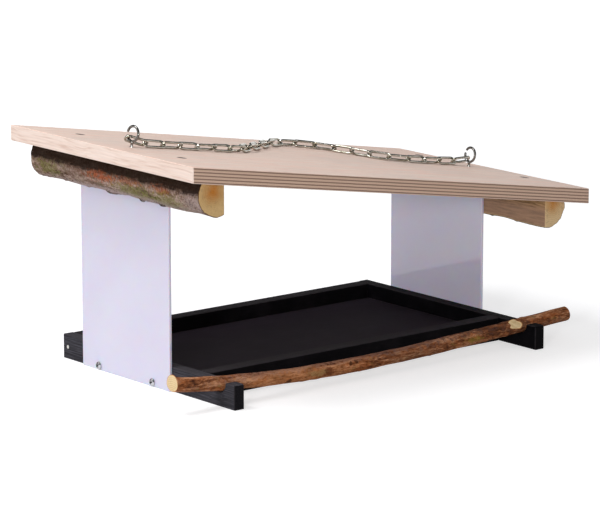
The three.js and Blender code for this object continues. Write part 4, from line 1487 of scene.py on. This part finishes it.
# %% [markdown]
# Chain, eyes and screws are steel with a bright zinc plate. Plate is never an even mirror: it is a little
# rougher and yellower in places, and dull where it was rubbed. The roof screws have a dark coat. The
# nails are dark too, but for one whose head is bare.

# %% Metals
recess_dark_tone = colour(14, 13, 15)


def plated(name, tone, dull, rough, recessed=False, metal=True):
    """Metal whose tone and roughness drift with noise of two sizes. On a recessed head, a mark on the
    mesh says where the recess lies, and it is painted near black and dull: dirt and painted shade in the
    recess. A dark coat is no metal on its outside."""
    made, n, shader = material(name)
    here = n.place()
    drift, fine = n.noise(here, 7.0, 3.0), n.noise(here, 0.7, 4.0, 0.7)
    plate = n.mix(n.step(drift, 0.4, 0.7), colour(*tone), colour(*dull))
    dulled = n.math("MULTIPLY_ADD", fine, 0.25, rough)
    shader.inputs["Metallic"].default_value = float(metal)
    shader.inputs["Specular IOR Level"].default_value = 0.5 if metal else 0.1
    if recessed:
        # The recess is painted near black and dull: dirt and painted shade.
        recess_dark = n.step(n.add("Attribute", attribute_name="recess").outputs["Fac"], 0.2, 0.8)
        plate = n.mix(recess_dark, plate, recess_dark_tone)
        dulled = n.math("MAXIMUM", recess_dark, dulled)
        if metal:
            n.feed(shader.inputs["Metallic"], n.rest(recess_dark))
    n.feed(shader.inputs["Base Color"], plate)
    n.feed(shader.inputs["Roughness"], dulled)
    n.feed(shader.inputs["Normal"], n.bump(fine, 0.15, 0.1))
    return made


zinc = plated("bright zinc plate", (196, 194, 186), (156, 151, 134), 0.03)
eye_zinc = plated("zinc plate of the eyes", (134, 133, 131), (100, 98, 92), 0.06)
screw_zinc = plated("zinc plate of the screws", (190, 190, 194), (140, 140, 142), 0.12, recessed=True)
dull_screw = plated(
    "dark coat of the roof screws", (50, 47, 54), (30, 28, 32), 0.5, recessed=True, metal=False
)
nail_steel = plated("dark nails", (86, 84, 88), (48, 46, 50), 0.35)
bare_steel = plated("bare nail head", (214, 212, 208), (170, 166, 160), 0.2)
for piece in link_pieces:
    piece.data.materials.append(zinc)
for piece in eye_pieces.values():
    piece.data.materials.append(eye_zinc)
for piece in screw_pieces:
    piece.data.materials.append(screw_zinc if piece.name.startswith("pan") else dull_screw)
for name in nodes:
    if name.startswith("frame_nail_"):
        give(name, bare_steel if name == "frame_nail_left_back" else nail_steel)
print("plated pieces:", len(link_pieces) + len(eye_pieces) + len(screw_pieces))

# %% [markdown]
# The table stands on a plain pale floor. A photographer would hang a sheet of paper that curves up behind
# it. Here the floor is flat and glows a little more with the distance, so that its far edge melts into
# the white around it. Only the camera and mirroring or clear things see that glow: as light, it would
# brighten the table from below.

# %% Floor
white = (1.0, 1.0, 1.0, 1.0)
floor_reach = 15.0
glow_from, glow_to = 0.5, 2.2
near_glow, far_glow = 0.58, 0.32
corners = [(-1, -1), (1, -1), (1, 1), (-1, 1)]
mesh = bpy.data.meshes.new("studio_floor")
mesh.from_pydata([(floor_reach * x, floor_reach * y, 0) for x, y in corners], [], [(0, 1, 2, 3)])
studio_floor = bpy.data.objects.new("studio_floor", mesh)
bpy.context.scene.collection.objects.link(studio_floor)
floor_finish, n, shader = material("pale floor")
shader.inputs["Base Color"].default_value = colour(205, 205, 207)
shader.inputs["Roughness"].default_value = 1.0
shader.inputs["Specular IOR Level"].default_value = 0.0
shader.inputs["Emission Color"].default_value = white
paths = n.add("LightPath").outputs
through = n.math("MAXIMUM", paths["Is Glossy Ray"], paths["Is Transmission Ray"])
seen = n.math("MAXIMUM", paths["Is Camera Ray"], through)
distance = n.length(n.add("TexCoord").outputs["Object"])
glow = n.math("MULTIPLY_ADD", n.step(distance, glow_from, glow_to), far_glow, near_glow)
n.feed(shader.inputs["Emission Strength"], n.times(seen, glow))
mesh.materials.append(floor_finish)
print("the floor is", 2 * floor_reach, "metres wide")

# %% [markdown]
# Around it lies a white studio. An even white would do for wood and plastic, but the chain would vanish
# against it, because a mirror in a white room is white. So what is mirrored has a dark ceiling, as in a
# real studio, while the camera sees plain white. The light that everything gets from all around is
# weaker than the white that is seen, which leaves room for the lamps.

# %% Surroundings
ceiling_from, ceiling_to, ceiling_dark = 0.14, 0.5, 0.94
ambient_strength = 0.42
world = bpy.data.worlds.new("studio")
bpy.context.scene.world = world
world.use_nodes = True
n = Nodes(world.node_tree)
background = world.node_tree.nodes["Background"]
background.inputs["Color"].default_value = white
paths = n.add("LightPath").outputs
up = n.parts(n.add("TexCoord").outputs["Generated"])[2]
ceiling = n.times(n.step(up, ceiling_from, ceiling_to), ceiling_dark)
mirrored = n.times(paths["Is Glossy Ray"], n.rest(ceiling))
through = n.math("MAXIMUM", mirrored, paths["Is Transmission Ray"])
seen = n.math("MAXIMUM", paths["Is Camera Ray"], through)
ambient = n.times(n.rest(paths["Is Glossy Ray"]), ambient_strength)
n.feed(background.inputs["Strength"], n.math("MAXIMUM", seen, ambient))
print("surroundings:", world.name)

# %% [markdown]
# The camera stands where the photographer stood: in front, to the left and a little above. Its place and
# lens were worked out from the straight edges of the roof, the sides and the tray. Guessing by eye would
# bring the outline near, but not the slopes of the edges, which tell how far away it stood.

# %% Camera
def stand(name, data, at, target):
    """Puts a camera or a lamp in its place, in metres, and turns it to face a point."""
    made = bpy.data.objects.new(name, data)
    bpy.context.scene.collection.objects.link(made)
    made.location = at
    made.rotation_euler = (Vector(target) - Vector(at)).to_track_quat("-Z", "Y").to_euler()
    return made


camera = bpy.data.cameras.new("camera")
camera.lens = 214.28
camera.sensor_width = 36.0
camera.clip_end = 100.0
camera_place, camera_target = (-2.1776, -2.6845, 0.8310), (0.01541, 0.0, 0.09047)
bpy.context.scene.camera = stand("camera", camera, camera_place, camera_target)
print("the camera stands at", camera_place)

# %% [markdown]
# Most of the light comes evenly from all around. A lamp above and a weak one at the left brighten the
# roof's left end and fade along it, as in the photograph, and one low and to the left of the camera
# reaches in under the roof.

# %% Lamps
lamp_target = (0.0, 0.0, 0.1)
# The place and the width of each square lamp, in metres, and its power in watts.
lamps = {
    "top": ((-0.9, 0.3, 1.8), 0.8, 20),
    "left": ((-1.5, 0.2, 1.1), 1.0, 5.5),
    "low": ((-2.5, -2.0, 0.8), 0.4, 31.5),
}
for name, (at, width, power) in lamps.items():
    lamp = bpy.data.lights.new(name, "AREA")
    lamp.size = width
    lamp.energy = power
    stand(name, lamp, at, lamp_target)
bpy.context.scene.view_settings.view_transform = "Standard"
print("lamps:", list(lamps))

# %% [markdown]
